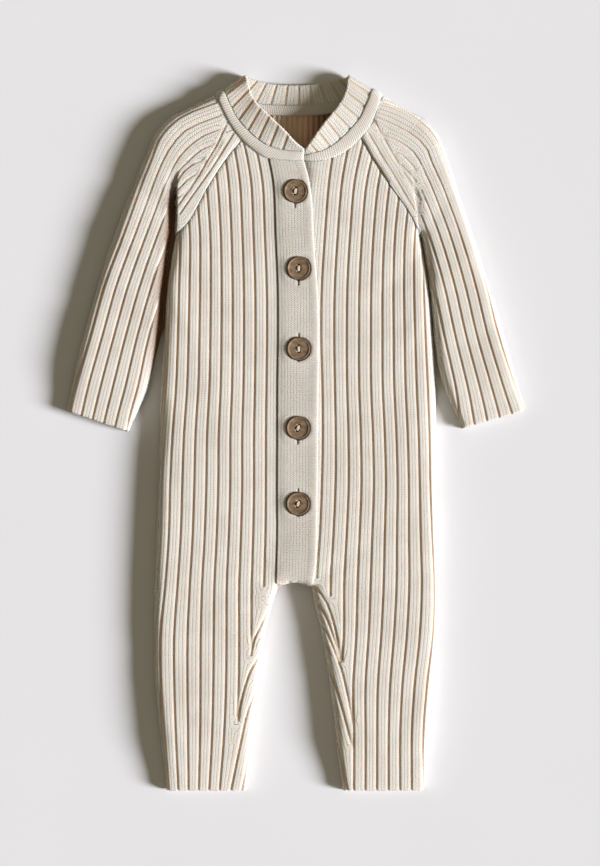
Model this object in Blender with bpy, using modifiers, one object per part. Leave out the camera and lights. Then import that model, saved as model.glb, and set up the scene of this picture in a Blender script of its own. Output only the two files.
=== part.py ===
"""A baby romper in thick rib knit, laid flat with its front up.

Every table is in millimetres, and the mesh is made in metres. The origin is on the surface
under the middle of the garment, +X is to the viewer's right, +Y runs from the legs to the
collar and +Z is up. The garment is a stack of knitted walls: the back lies on the surface,
the fronts lie on the back, the two button bands lie on each other, and each sleeve is a
flattened tube that opens into the body at its raglan seam.
"""

import math

import bpy
import numpy as np
from mathutils import Vector
from mathutils.geometry import delaunay_2d_cdt

MM = 0.001              # metres in a millimetre
SEAM = 0.3              # gap between two pieces that are sewn together
HAIR = 0.15             # half of that gap, taken from each piece

# ---------------------------------------------------------------- knit sizes
BACK_WALL = 3.3         # thickness of the knit that lies on the surface
FRONT_WALL = 2.0        # thickness of the upper layer at the bottom of a valley
RIB_HEIGHT = 2.0        # how far a rib stands over the valley beside it
VALLEY_HALF = 1.6       # half the width of a valley at its top
BAND_WALL = 2.2         # thickness of the plain-knit button bands

# ------------------------------------------------- how the upper layer lies
SEAM_LEVEL = 3.6        # inner face of the upper layer where it meets the back
LOFT = 6.0              # how far it stands off the back in the middle of a piece
ROLL_WIDTH = 15.0       # width over which it rolls down to a side
OPEN_WIDTH = 40.0       # length over which it settles towards a hem or cuff
OPEN_LOFT = 0.35        # share of the loft that is left right at a hem or cuff
EDGE_FADE = 5.0         # width over which the ribs flatten towards a side
EDGE_RIB = 0.15         # share of the ribs' height that is left right at a side

# -------------------------------------------------------------- mesh sizes
ROW_STEP = 17.0         # distance between two mesh points along a rib
RIM_STEP = 13.0         # distance between two mesh points along an outline
ROLL_STEP = 3.6         # distance between two mesh points along the neck roll
SPOT_STEP = 24.0        # distance between the inner points of a plain face
MERGE = 0.12            # points of a plan closer than this become one

# ------------------------------------------------------------- body tables
# Left front: height, placket seam, fifth valley, ninth valley, side of the body.
LEFT_ROWS = [
    (228.0, -27.0, -66.0, -99.0, -92.5),
    (216.5, -22.5, -63.5, -96.0, -92.5),
    (189.5, -17.0, -60.2, -93.5, -92.5),
    (151.0, -15.4, -57.9, -89.0, -92.5),
    (113.0, -13.8, -57.3, -89.7, -98.5),
    (74.5, -13.6, -57.4, -90.7, -101.0),
    (36.5, -14.1, -57.9, -92.0, -103.5),
    (-2.0, -14.2, -59.5, -94.8, -104.5),
    (-40.0, -14.4, -59.8, -96.6, -105.5),
    (-78.5, -14.3, -61.0, -97.6, -107.0),
    (-117.0, -15.3, -62.8, -100.3, -108.5),
    (-155.0, -16.0, -63.3, -103.9, -109.0),
    (-193.5, -16.0, -63.6, -103.6, -108.0),
    (-231.5, -19.5, -64.5, -101.6, -104.0),
    (-274.6, -25.5, -66.8, -98.0, -99.5),
]
# Right front: height, first valley, fifth valley, ninth valley, side of the body.
RIGHT_ROWS = [
    (228.0, 30.5, 72.0, 106.0, 95.5),
    (216.5, 28.5, 69.0, 102.5, 95.5),
    (189.5, 24.7, 62.5, 96.0, 95.5),
    (151.0, 21.8, 58.9, 90.6, 95.5),
    (113.0, 19.5, 57.2, 90.0, 101.5),
    (74.5, 19.0, 56.9, 90.8, 105.0),
    (36.5, 19.9, 57.0, 91.9, 107.0),
    (-2.0, 20.2, 58.5, 93.5, 107.5),
    (-40.0, 19.5, 59.2, 94.3, 107.5),
    (-78.5, 18.0, 58.0, 95.0, 108.0),
    (-117.0, 15.6, 56.7, 95.9, 109.0),
    (-155.0, 17.5, 55.2, 94.3, 108.0),
    (-193.5, 15.0, 52.8, 90.4, 105.0),
    (-231.5, 17.5, 52.9, 88.2, 102.0),
    (-274.6, 17.5, 52.9, 88.4, 98.5),
]
MIDDLE_VALLEY = 5       # numbers of the two other valleys in the tables
LAST_VALLEY = 9
SIDE_TOP = 151.0        # height of the underarm, where a side begins
HEM = -274.6            # height of the leg hems

# Raglan seams, from the neck to the underarm: x, y.
RAGLAN_LEFT = [(-41.8, 223.8), (-54.5, 208.0), (-67.5, 188.0), (-81.0, 163.5), (-92.5, 151.0)]
RAGLAN_RIGHT = [(50.0, 225.0), (58.0, 210.5), (72.0, 189.0), (86.0, 169.5), (95.5, 151.0)]

# Inner legs, from the crotch to the hem: x, y.
INSEAM_LEFT = [(-14.2, -119.5), (-17.0, -128.5), (-21.5, -145.0), (-25.5, -166.5),
               (-30.5, -205.0), (-33.5, -232.0), (-37.5, HEM)]
INSEAM_RIGHT = [(12.6, -119.5), (13.6, -129.0), (18.0, -146.0), (22.5, -170.5),
                (28.5, -212.5), (32.0, -247.0), (36.0, HEM)]
CROTCH = [(-10.0, -117.0), (-4.5, -115.2), (1.0, -115.0), (5.5, -116.0), (9.5, -117.6)]

# Shaping of the inner legs: valleys that run from the inseam down into the ribs, x, y.
SHAPING_LEFT = [
    [(-21.2, -135.2), (-27.1, -147.7), (-32.2, -158.6), (-34.5, -170.4)],
    [(-27.9, -169.6), (-34.9, -182.1), (-39.6, -195.4), (-43.1, -211.0), (-44.3, -220.2)],
    [(-31.4, -196.9), (-34.9, -207.1), (-38.8, -219.6), (-50.5, -276.0)],
    [(-32.0, -228.0), (-36.5, -246.0), (-42.0, -276.0)],
]
SHAPING_RIGHT = [
    [(14.0, -118.5), (19.0, -123.5), (23.7, -131.3), (30.0, -150.8), (34.2, -173.5)],
    [(17.5, -132.1), (22.9, -141.4), (27.6, -154.0), (33.5, -171.9)],
    [(19.0, -146.2), (24.5, -155.5), (33.9, -179.7), (38.5, -197.7), (42.8, -220.2)],
    [(24.5, -175.8), (27.6, -186.0), (34.6, -209.4), (42.0, -238.0)],
    [(27.0, -212.0), (34.0, -244.5), (39.5, -276.0)],
]
# Height at which valleys 1, 2 and 3 end on the shaping of each leg.
VALLEY_ENDS_LEFT = {1: -121.0, 2: -166.5, 3: -220.0}
VALLEY_ENDS_RIGHT = {1: -115.5, 2: -126.5, 3: -175.5}

# Free edge of the upper button band, from the neck to the crotch: x, y.
PLACKET_EDGE = [(6.0, 208.5), (10.0, 193.5), (12.5, 174.5), (13.5, 151.0), (17.0, 101.5),
                (17.5, 67.0), (17.0, 12.5), (16.5, -48.5), (15.5, -97.5), (13.0, -116.0)]
UNDER_INSET = 1.8       # how far the lower band starts from the seam of the upper one

# ----------------------------------------------------------- sleeve tables
# Lower sleeve: height, first valley, sixth valley.
SLEEVE_LEFT_ROWS = [(189.5, -118.5, -74.0), (151.5, -132.0, -88.8), (113.0, -146.5, -101.5),
                    (74.5, -157.2, -112.6), (36.5, -168.5, -121.0), (17.0, -173.0, -126.5),
                    (-6.0, -178.5, -132.0)]
SLEEVE_RIGHT_ROWS = [(189.5, 119.0, 75.4), (151.5, 133.5, 93.3), (113.0, 145.0, 104.9),
                     (74.5, 154.7, 113.1), (36.5, 167.0, 121.6), (17.0, 174.3, 124.7),
                     (-6.0, 181.0, 128.0)]
SLEEVE_VALLEYS = 6
# Sleeve cap: where each valley starts, and the corner that its curve leans to, x, y, x, y.
CAP_LEFT = [(-55.5, 254.5, -106.0, 250.0), (-58.0, 242.0, -96.0, 233.0),
            (-55.0, 232.5, -86.0, 226.0), (-62.5, 221.5, -80.5, 209.0),
            (-70.5, 210.0, -77.0, 200.0), (-74.5, 203.0, -75.5, 199.0)]
CAP_RIGHT = [(62.0, 254.5, 103.0, 247.0), (61.5, 241.5, 95.0, 232.0),
             (66.0, 228.0, 88.0, 222.0), (73.0, 216.0, 85.0, 207.0),
             (78.0, 207.0, 83.0, 198.0), (82.0, 200.0, 83.0, 196.0)]
# Band of two ribs along the raglan seam: its middle and its sleeve-side valley, x, y.
BAND_LEFT = [[(-48.5, 228.0), (-57.5, 213.5), (-66.5, 199.5), (-76.5, 185.5), (-89.0, 167.5)],
             [(-54.0, 235.0), (-61.0, 219.5), (-68.5, 207.5), (-74.5, 196.5), (-90.5, 173.5)]]
BAND_RIGHT = [[(55.0, 229.0), (65.0, 212.0), (73.0, 199.0), (79.5, 188.0), (91.5, 168.0)],
              [(60.5, 237.0), (67.0, 225.0), (73.5, 213.5), (80.5, 202.0), (95.0, 178.0)]]
# Outer side of each sleeve, neck to cuff: x, y.
SLEEVE_OUTER_LEFT = [(-62.4, 258.6), (-81.0, 250.0), (-95.0, 242.5), (-104.0, 234.0),
                     (-110.5, 224.0), (-125.5, 188.0), (-138.5, 155.0), (-151.5, 115.5),
                     (-161.0, 82.5), (-168.5, 51.5), (-176.0, 16.5)]
SLEEVE_OUTER_RIGHT = [(67.0, 258.0), (79.5, 250.5), (99.0, 240.0), (108.0, 230.0),
                      (113.5, 218.5), (126.5, 178.0), (139.5, 138.5), (151.5, 101.5),
                      (162.5, 63.0), (170.0, 36.5), (176.0, 16.5)]
# Inner side of each sleeve, underarm to cuff: x, y.
SLEEVE_INNER_LEFT = [(-104.0, 73.0), (-107.0, 61.0), (-114.5, 32.5), (-128.5, 0.5)]
SLEEVE_INNER_RIGHT = [(107.6, 60.0), (109.8, 46.5), (115.0, 31.0), (128.0, 3.0)]
SLEEVE_LIES_TO = [80.0, 68.0]   # height down to which each sleeve lies along the body's side
SIDE_GAP = 0.7          # between the body's side and the sleeve that lies along it
HOLLOW_INSET = 4.5      # how far the space inside a sleeve stays from its sides
HOLLOW_REACH = 4.0      # how far its cutter runs out of the cuff and the armhole

# -------------------------------------------------------- neck and collar
ROLL_RADIUS = 2.6       # of the rolled band at the neck seam
COLLAR_WALL = 2.6       # thickness of the collar over its ribs
COLLAR_RIB = 1.1        # how far its ribs stand out
COLLAR_SEAM = 0.8       # from the roll to the collar, a little more for the turns at the folds
COLLAR_PITCH = 10.0     # distance between two of its ribs
COLLAR_ENDS = (16.5, 13.0)  # from its left and right front ends to the nearest valley
COLLAR_VALLEY = 1.3     # half the width of a valley between them
COLLAR_STEP = 0.8       # fine steps along the neck rows, from which its length is measured
BAND_END = 0.7          # share of the rolled band's thickness that is left at its front ends
BAND_THINS = 8.0        # length over which it thins there, where one end lies over the other
BAND_SIDES = 10         # points round the rolled band
# One row for each section, from the front edge round the back: the middle of the band's outer
# roll x, y, z; the collar's rim x, y, z; and how far the band reaches towards the rim.
NECK_ROWS = [
    (5.8, 210.4, 14.9, 6.4, 216.2, 18.5, 5.4),
    (-5.0, 210.4, 13.0, -0.8, 222.2, 19.3, 6.4),
    (-15.0, 210.9, 12.3, -7.5, 230.0, 19.7, 6.8),
    (-25.0, 214.2, 12.1, -15.0, 237.5, 18.9, 6.5),
    (-34.5, 221.0, 11.9, -22.0, 244.5, 17.9, 6.1),
    (-42.8, 229.3, 11.8, -28.5, 251.0, 16.5, 5.6),
    (-49.0, 237.9, 11.6, -32.8, 257.2, 14.7, 5.0),
    (-53.4, 246.3, 11.5, -35.2, 263.8, 13.5, 4.8),
    (-56.0, 252.2, 11.4, -36.3, 268.8, 12.3, 4.6),
    (-57.7, 256.4, 10.7, -37.2, 271.4, 10.4, 4.5),
    (-58.8, 259.0, 6.6, -38.0, 273.5, 6.4, 4.4),
    (-57.2, 258.4, 3.1, -36.8, 272.9, 2.9, 4.5),
    (-53.0, 256.6, 2.7, -33.6, 271.6, 2.0, 4.6),
    (-43.0, 251.6, 2.7, -28.0, 270.0, 1.7, 4.9),
    (-30.0, 247.6, 2.7, -20.5, 268.2, 1.6, 5.2),
    (-15.0, 245.9, 2.7, -10.5, 267.2, 1.6, 5.4),
    (2.0, 245.6, 2.7, 2.0, 266.9, 1.6, 5.4),
    (19.0, 246.4, 2.7, 14.0, 267.6, 1.6, 5.4),
    (35.0, 249.2, 2.7, 24.5, 269.4, 1.6, 5.6),
    (48.0, 252.8, 2.7, 31.5, 271.6, 1.7, 6.0),
    (57.6, 256.8, 2.7, 35.8, 272.0, 2.0, 6.4),
    (61.8, 258.4, 3.1, 38.4, 272.9, 2.9, 6.8),
    (63.4, 258.8, 6.6, 39.4, 273.5, 6.4, 6.9),
    (62.3, 256.2, 10.7, 39.2, 271.0, 10.4, 6.9),
    (60.9, 251.6, 11.4, 38.6, 267.2, 12.3, 7.0),
    (58.2, 244.4, 11.5, 37.2, 260.4, 13.5, 7.5),
    (54.4, 235.8, 11.6, 33.5, 252.8, 14.7, 7.8),
    (48.6, 228.6, 11.8, 29.5, 246.9, 16.5, 8.1),
    (41.0, 221.0, 11.9, 24.2, 240.6, 17.9, 7.9),
    (32.0, 214.8, 12.1, 17.9, 232.1, 18.9, 7.0),
    (23.0, 211.6, 12.3, 11.7, 223.0, 18.7, 6.0),
    (15.0, 210.4, 11.9, 8.2, 218.2, 16.9, 5.4),
    (8.5, 210.2, 10.7, 5.6, 214.9, 12.9, 3.8),
    (3.8, 210.2, 9.8, 3.2, 213.9, 10.7, 2.6),
]

# ------------------------------------------------------------------ buttons
# Centre, and how far the pair of holes is turned from upright, in degrees.
BUTTON_PLACES = [(-0.5, 184.5, 8.0), (2.0, 125.5, 0.0), (2.0, 64.0, -5.0), (1.5, 3.5, 18.0),
                 (1.5, -54.5, 17.0)]
BUTTON_RADIUS = 9.0
BUTTON_THICKNESS = 2.6
BUTTON_SINK = 1.4       # how far each button is pressed into the band
SINK_RINGS = (9.6, 11.0)    # radius of the hollow's floor, and of its upper edge
SINK_POINTS = 20        # points round each of the two rings
BUTTON_DISH = 0.7       # how far its face lies below its rim
BUTTON_RIM = (1.5, 0.6) # where the rim's flat starts and ends, from the outside
BUTTON_EDGE = 0.8       # rounding of the outer edge
BUTTON_STEPS = 24
HOLE_RADIUS = 1.0
HOLE_REACH = 2.1        # from the middle of the button to the middle of a hole
HOLE_SIDES = 10
HOLE_CUT = 12.0         # length of the cutter of a hole

KNIT_COLOUR = (0.80, 0.74, 0.65, 1.0)
BAND_COLOUR = (0.74, 0.68, 0.59, 1.0)
BUTTON_COLOUR = (0.21, 0.14, 0.09, 1.0)


# ------------------------------------------------------------------ helpers
def clear_scene():
    for item in list(bpy.data.objects):
        bpy.data.objects.remove(item, do_unlink=True)


def collection(name):
    made = bpy.data.collections.new(name)
    bpy.context.scene.collection.children.link(made)
    return made


def material(name, colour, roughness):
    made = bpy.data.materials.new(name)
    made.use_nodes = True
    shader = made.node_tree.nodes["Principled BSDF"]
    shader.inputs["Base Color"].default_value = colour
    shader.inputs["Roughness"].default_value = roughness
    made.diffuse_color = colour
    return made


def ease(share):
    """0 to 1, flat at both ends."""
    share = np.clip(share, 0.0, 1.0)
    return share * share * (3.0 - 2.0 * share)


def curve_through(rows, spacing):
    """Points about spacing apart on a smooth curve through the rows."""
    rows = np.asarray(rows, dtype=float)
    before = np.vstack([2 * rows[0] - rows[1], rows])
    padded = np.vstack([before, 2 * rows[-1] - rows[-2]])
    found = []
    for first, start, end, last in zip(padded, padded[1:], padded[2:], padded[3:]):
        count = max(1, int(round(np.linalg.norm((end - start)[:3]) / spacing)))
        for t in np.arange(count) / count:
            found.append(0.5 * (2 * start + (end - first) * t
                                + (2 * first - 5 * start + 4 * end - last) * t ** 2
                                + (3 * start - first - 3 * end + last) * t ** 3))
    found.append(rows[-1])
    return np.array(found)


def beside(line, distance):
    """The line moved sideways, to the left of its direction."""
    line = np.asarray(line, dtype=float)
    along = np.gradient(line, axis=0)
    along /= np.linalg.norm(along, axis=1)[:, None]
    return line + distance * np.stack([-along[:, 1], along[:, 0]], axis=1)


def distance_to(lines, points):
    """Distance from each point to the nearest of the lines, in plan."""
    best = np.full(len(points), np.inf)
    for line in lines:
        start = line[:-1, None, :]
        reach = line[1:, None, :] - start
        offset = points[None, :, :] - start
        share = np.clip((offset * reach).sum(2) / (reach ** 2).sum(2), 0.0, 1.0)
        gaps = np.linalg.norm(offset - share[..., None] * reach, axis=2)
        best = np.minimum(best, gaps.min(axis=0))
    return best


# ------------------------------------------------------------- garment lines
def column(rows, place):
    """Heights and one column of a body table, as a line from the neck to the hem."""
    return curve_through([(row[place], row[0]) for row in rows], ROW_STEP)


def rows_start(rows):
    """Number of the valley that a body table gives first."""
    return 0 if rows is LEFT_ROWS else 1


def valley_place(row, number, start):
    """Where a valley lies in one row of a body table, by a parabola through its three valleys."""
    first, middle, last = number - start, number - MIDDLE_VALLEY, number - LAST_VALLEY
    whole, left, right = LAST_VALLEY - start, MIDDLE_VALLEY - start, LAST_VALLEY - MIDDLE_VALLEY
    return (row[1] * middle * last / (left * whole) - row[2] * first * last / (left * right)
            + row[3] * first * middle / (whole * right))


def rib_lines(rows, first_number, last_number, ends):
    """Valleys of a front, from the neck to the hem or to where the leg's shaping ends them."""
    heights = [row[0] for row in rows]
    lines = []
    for number in range(first_number, last_number + 1):
        places = [valley_place(row, number, rows_start(rows)) for row in rows]
        end = ends.get(number, HEM - 20.0)
        points = [(x, y) for x, y in zip(places, heights) if y > end]
        if number in ends:
            points.append((np.interp(end, heights[::-1], places[::-1]), end))
        else:
            points[-1] = (points[-1][0], HEM - 3.0)
        lines.append(curve_through(points, ROW_STEP))
    return lines


def sleeve_lines(rows, cap, band):
    """Valleys of a sleeve: even on the arm, bent over the cap, and two along the raglan."""
    lines = []
    for number, (start_x, start_y, lean_x, lean_y) in enumerate(cap):
        share = number / (SLEEVE_VALLEYS - 1)
        arm = [(row[1] + share * (row[2] - row[1]), row[0]) for row in rows]
        start, lean, end = np.array([start_x, start_y]), np.array([lean_x, lean_y]), np.array(arm[0])
        bend = [(1 - t) ** 2 * start + 2 * t * (1 - t) * lean + t * t * end
                for t in (0, 0.25, 0.5, 0.75)]
        lines.append(curve_through(bend + arm, ROW_STEP))
    return lines + [curve_through(points, ROW_STEP) for points in band]


def arm_side(side, lies_to, gap, free):
    """Inner side of a sleeve: along the body first, then free of it down to the cuff."""
    beside_body = side[side[:, 1] > lies_to] + np.array([gap, 0.0])
    beside_body[0, 1] -= SIDE_GAP
    return np.vstack([beside_body, curve_through(free, RIM_STEP)])


SIDE_LEFT = column([row for row in LEFT_ROWS if row[0] <= SIDE_TOP], 4)
SIDE_RIGHT = column([row for row in RIGHT_ROWS if row[0] <= SIDE_TOP], 4)
INNER_LEG_LEFT = curve_through(INSEAM_LEFT, RIM_STEP)
INNER_LEG_RIGHT = curve_through(INSEAM_RIGHT, RIM_STEP)
ARM_LEFT = arm_side(SIDE_LEFT, SLEEVE_LIES_TO[0], -SIDE_GAP, SLEEVE_INNER_LEFT)
ARM_RIGHT = arm_side(SIDE_RIGHT, SLEEVE_LIES_TO[1], SIDE_GAP, SLEEVE_INNER_RIGHT)
ROLL = curve_through(NECK_ROWS, ROLL_STEP)[:, :3]
PLACKET_SEAM = column(LEFT_ROWS, 1)
PLACKET_FREE = curve_through(PLACKET_EDGE, ROW_STEP)

SIDES = [SIDE_LEFT, SIDE_RIGHT, INNER_LEG_LEFT, INNER_LEG_RIGHT, np.array(CROTCH),
         curve_through(SLEEVE_OUTER_LEFT, RIM_STEP), curve_through(SLEEVE_OUTER_RIGHT, RIM_STEP),
         ARM_LEFT, ARM_RIGHT]
ENDS = [np.array([(-110.0, HEM), (-30.0, HEM)]), np.array([(30.0, HEM), (110.0, HEM)]),
        np.array([SLEEVE_OUTER_LEFT[-1], SLEEVE_INNER_LEFT[-1]]),
        np.array([SLEEVE_OUTER_RIGHT[-1], SLEEVE_INNER_RIGHT[-1]])]


def inner_level(points):
    """Height of the upper layer's inner face over the surface."""
    roll = ease(distance_to(SIDES, points) / ROLL_WIDTH)
    settle = OPEN_LOFT + (1.0 - OPEN_LOFT) * ease(distance_to(ENDS, points) / OPEN_WIDTH)
    return SEAM_LEVEL + LOFT * roll * settle


def rib_level(points, valleys):
    """Height of the ribbed face of the upper layer."""
    flank = np.clip(distance_to(valleys, points) / VALLEY_HALF, 0.0, 1.0)
    fade = EDGE_RIB + (1.0 - EDGE_RIB) * ease(distance_to(SIDES, points) / EDGE_FADE)
    return inner_level(points) + FRONT_WALL + RIB_HEIGHT * flank * fade


# --------------------------------------------------------------- mesh tools
def plan(outline, lines, spots):
    """Triangles inside an outline, with the lines kept as edges, and its rim in order."""
    points = [Vector(point) for point in outline]
    face = list(range(len(points)))
    edges = []
    for line in lines:
        first = len(points)
        points += [Vector(point) for point in line]
        edges += [(place, place + 1) for place in range(first, len(points) - 1)]
    points += [Vector(point) for point in spots]
    found, _, triangles, *_ = delaunay_2d_cdt(points, edges, [face], 1, MERGE)
    flat = np.array([tuple(point) for point in found])
    middles = np.array([flat[list(tri)].mean(axis=0) for tri in triangles])
    kept = [tuple(tri) for tri, keep in zip(triangles, inside(np.asarray(outline), middles)) if keep]
    turned = [tri if signed_area(flat[list(tri)]) > 0 else tri[::-1] for tri in kept]
    follow = {}
    for tri in turned:
        for here, there in zip(tri, tri[1:] + tri[:1]):
            follow[(here, there)] = True
    after = {here: there for here, there in follow if (there, here) not in follow}
    rim = [next(iter(after))]
    while after[rim[-1]] != rim[0]:
        rim.append(after[rim[-1]])
    used = sorted({place for tri in turned for place in tri})
    order = {place: new for new, place in enumerate(used)}
    return flat[used], [tuple(order[place] for place in tri) for tri in turned], [order[p] for p in rim]


def signed_area(loop):
    x, y = loop[:, 0], loop[:, 1]
    return 0.5 * float(np.sum(x * np.roll(y, -1) - np.roll(x, -1) * y))


def inside(outline, points):
    """Which of the points lie inside a closed outline."""
    found = np.zeros(len(points), dtype=bool)
    for (x0, y0), (x1, y1) in zip(outline, np.roll(outline, -1, axis=0)):
        if y0 != y1:
            passes = (y0 > points[:, 1]) != (y1 > points[:, 1])
            found ^= passes & (points[:, 0] < (x1 - x0) * (points[:, 1] - y0) / (y1 - y0) + x0)
    return found


def spots_inside(outline, step):
    """Points of an even grid that lie well inside an outline."""
    low, high = outline.min(axis=0), outline.max(axis=0)
    across, up = np.meshgrid(np.arange(low[0], high[0], step), np.arange(low[1], high[1], step))
    grid = np.stack([across.ravel(), up.ravel()], axis=1)
    closed = np.vstack([outline, outline[:1]])
    return grid[inside(outline, grid) & (distance_to([closed], grid) > step / 3)]


def add_mesh(name, points, faces, finish, home):
    """A mesh object from points in millimetres."""
    mesh = bpy.data.meshes.new(name)
    mesh.from_pydata([tuple(MM * value for value in point) for point in points], [], faces)
    mesh.validate()
    mesh.materials.append(finish)
    made = bpy.data.objects.new(name, mesh)
    home.objects.link(made)
    return made


def wall(name, outline, valleys, upper, lower, finish, home, rings=()):
    """A closed wall: a ribbed or plain face above, a plain one below, and one rim between."""
    shoulders = [beside(line, offset) for line in valleys for offset in (-VALLEY_HALF, VALLEY_HALF)]
    spots = [] if valleys else spots_inside(outline, SPOT_STEP)
    top, top_faces, top_rim = plan(outline, valleys + shoulders + list(rings), spots)
    edge = top[top_rim]
    base, base_faces, _ = plan(edge, [], spots_inside(edge, SPOT_STEP))
    places = [int(np.argmin(np.linalg.norm(base - point, axis=1))) for point in edge]
    heights_above = upper(top)
    heights_below = lower(base)
    points = [(x, y, z) for (x, y), z in zip(top, heights_above)]
    points += [(x, y, z) for (x, y), z in zip(base, heights_below)]
    count = len(top)
    faces = list(top_faces) + [tuple(count + place for place in tri[::-1]) for tri in base_faces]
    for here in range(len(edge)):
        there = (here + 1) % len(edge)
        faces.append((top_rim[here], count + places[here], count + places[there], top_rim[there]))
    return add_mesh(name, points, faces, finish, home)


def flat_at(level):
    return lambda points: np.full(len(points), level)


# ------------------------------------------------------------------- pieces
NECK_EDGE = ROLL_RADIUS + SEAM      # from the middle of the roll to the panels beside it
FOLD_LEFT = int(np.argmin(ROLL[:, 0]))
FOLD_RIGHT = int(np.argmax(ROLL[:, 0]))
SLEEVE_NECK_TOP = 253.5             # the sleeves' neck edges end beside the turn of the roll
BACK_NECK_TOP = 247.0               # the back's shoulder corners end here, under the roll
BACK_NECK_ENDS = 250.0              # and its neckline starts here, clear of the turn of the roll
LEFT_NECK_START = -22.5             # the neck seam of the left front starts at the placket's seam
RIGHT_NECK_START = 8.0              # that of the right front starts at the placket's free edge
SEAM_TOP = 208.8                    # the placket's sewn edge ends just under the neck seam
FREE_TOP = 206.8                    # and so does its free edge
PANEL_FOOT = -115.5                 # both end just over the crotch
NECK_CORNER = 1.5                   # the neck seam is left out this close to a raglan's top
END_CLEAR = 1.0                     # a cut line has no other point this close to its ends


def front_neck(right, gap, keep):
    """The panels' edge along one half of the front roll, from the middle to the fold."""
    part = ROLL[FOLD_RIGHT:, :2][::-1] if right else ROLL[:FOLD_LEFT + 1, :2]
    line = beside(part, -gap if right else gap)
    return np.array([point for point in line if keep(point)])


def raglan(right, gap):
    """A raglan seam from neck to underarm, moved towards the body."""
    line = curve_through(RAGLAN_RIGHT if right else RAGLAN_LEFT, RIM_STEP)
    return beside(line, -gap if right else gap)


def shifted(line, across):
    return line + np.array([across, 0.0])


def between(line, low, high):
    """The part of a line that runs downwards between two heights, with a point at each end."""
    first, last = [(np.interp(level, line[::-1, 1], line[::-1, 0]), level) for level in (high, low)]
    inner = line[(line[:, 1] > low + END_CLEAR) & (line[:, 1] < high - END_CLEAR)]
    return np.vstack([first, inner, last])


def make_back(finish, home):
    neck = beside(ROLL[FOLD_LEFT:FOLD_RIGHT + 1, :2], -NECK_EDGE)
    neck = neck[neck[:, 1] < BACK_NECK_ENDS]
    left = front_neck(False, ROLL_RADIUS - SEAM,
                      lambda p: RAGLAN_LEFT[0][1] + NECK_CORNER < p[1] < BACK_NECK_TOP)
    right = front_neck(True, ROLL_RADIUS - SEAM,
                       lambda p: RAGLAN_RIGHT[0][1] + NECK_CORNER < p[1] < BACK_NECK_TOP)
    outline = np.vstack([raglan(False, HAIR)[:-1], SIDE_LEFT, INNER_LEG_LEFT[::-1], CROTCH,
                         INNER_LEG_RIGHT, SIDE_RIGHT[::-1], raglan(True, HAIR)[:-1][::-1],
                         right, neck[::-1], left[::-1]])
    return wall("back", outline, [], flat_at(BACK_WALL), flat_at(0.0), finish, home)


def make_front_left(finish, home):
    neck = front_neck(False, NECK_EDGE,
                      lambda p: p[0] < LEFT_NECK_START and p[1] < RAGLAN_LEFT[0][1] - NECK_CORNER)
    outline = np.vstack([neck, raglan(False, HAIR)[:-1], SIDE_LEFT, INNER_LEG_LEFT[::-1],
                         between(PLACKET_SEAM, PANEL_FOOT, SEAM_TOP)[::-1]])
    valleys = rib_lines(LEFT_ROWS, 1, LAST_VALLEY, VALLEY_ENDS_LEFT)
    valleys += [curve_through(points, ROW_STEP) for points in SHAPING_LEFT]
    return wall("front_left", outline, valleys, lambda p: rib_level(p, valleys + [PLACKET_SEAM]),
                inner_level, finish, home)


def make_front_right(finish, home):
    neck = front_neck(True, NECK_EDGE,
                      lambda p: p[0] > RIGHT_NECK_START and p[1] < RAGLAN_RIGHT[0][1] - NECK_CORNER)
    free = shifted(between(PLACKET_FREE, PANEL_FOOT, FREE_TOP), SEAM)
    outline = np.vstack([free, INNER_LEG_RIGHT, SIDE_RIGHT[::-1], raglan(True, HAIR)[:-1][::-1],
                         neck[::-1]])
    valleys = rib_lines(RIGHT_ROWS, 1, LAST_VALLEY + 1, VALLEY_ENDS_RIGHT)
    valleys += [curve_through(points, ROW_STEP) for points in SHAPING_RIGHT]
    return wall("front_right", outline, valleys, lambda p: rib_level(p, valleys), inner_level,
                finish, home)


def sink(points):
    """Depth of the hollows that the buttons press into the upper band."""
    middles = np.array(BUTTON_PLACES)[:, :2]
    away = np.linalg.norm(points[:, None] - middles[None], axis=2).min(axis=1)
    return BUTTON_SINK * (1.0 - ease((away - SINK_RINGS[0]) / (SINK_RINGS[1] - SINK_RINGS[0])))


def sink_rings():
    """The two rings of each hollow, as lines for its mesh."""
    turns = np.arange(SINK_POINTS + 1) * 2.0 * np.pi / SINK_POINTS
    circle = np.stack([np.cos(turns), np.sin(turns)], axis=1)
    return [np.array(place[:2]) + radius * circle for place in BUTTON_PLACES for radius in SINK_RINGS]


def make_placket(name, inset, floor, depth, rings, finish, home):
    """One button band: inset from the seam of the upper band, floor over the inner level."""
    seam = shifted(between(PLACKET_SEAM, PANEL_FOOT, SEAM_TOP), inset)
    free = between(PLACKET_FREE, PANEL_FOOT, FREE_TOP)
    neck = front_neck(False, NECK_EDGE, lambda p: seam[0, 0] + 1.0 < p[0] < free[0, 0])
    outline = np.vstack([neck, seam, CROTCH, free[::-1]])
    return wall(name, outline, [], lambda p: inner_level(p) + floor + BAND_WALL - depth(p),
                lambda p: inner_level(p) + floor, finish, home, rings)


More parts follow.
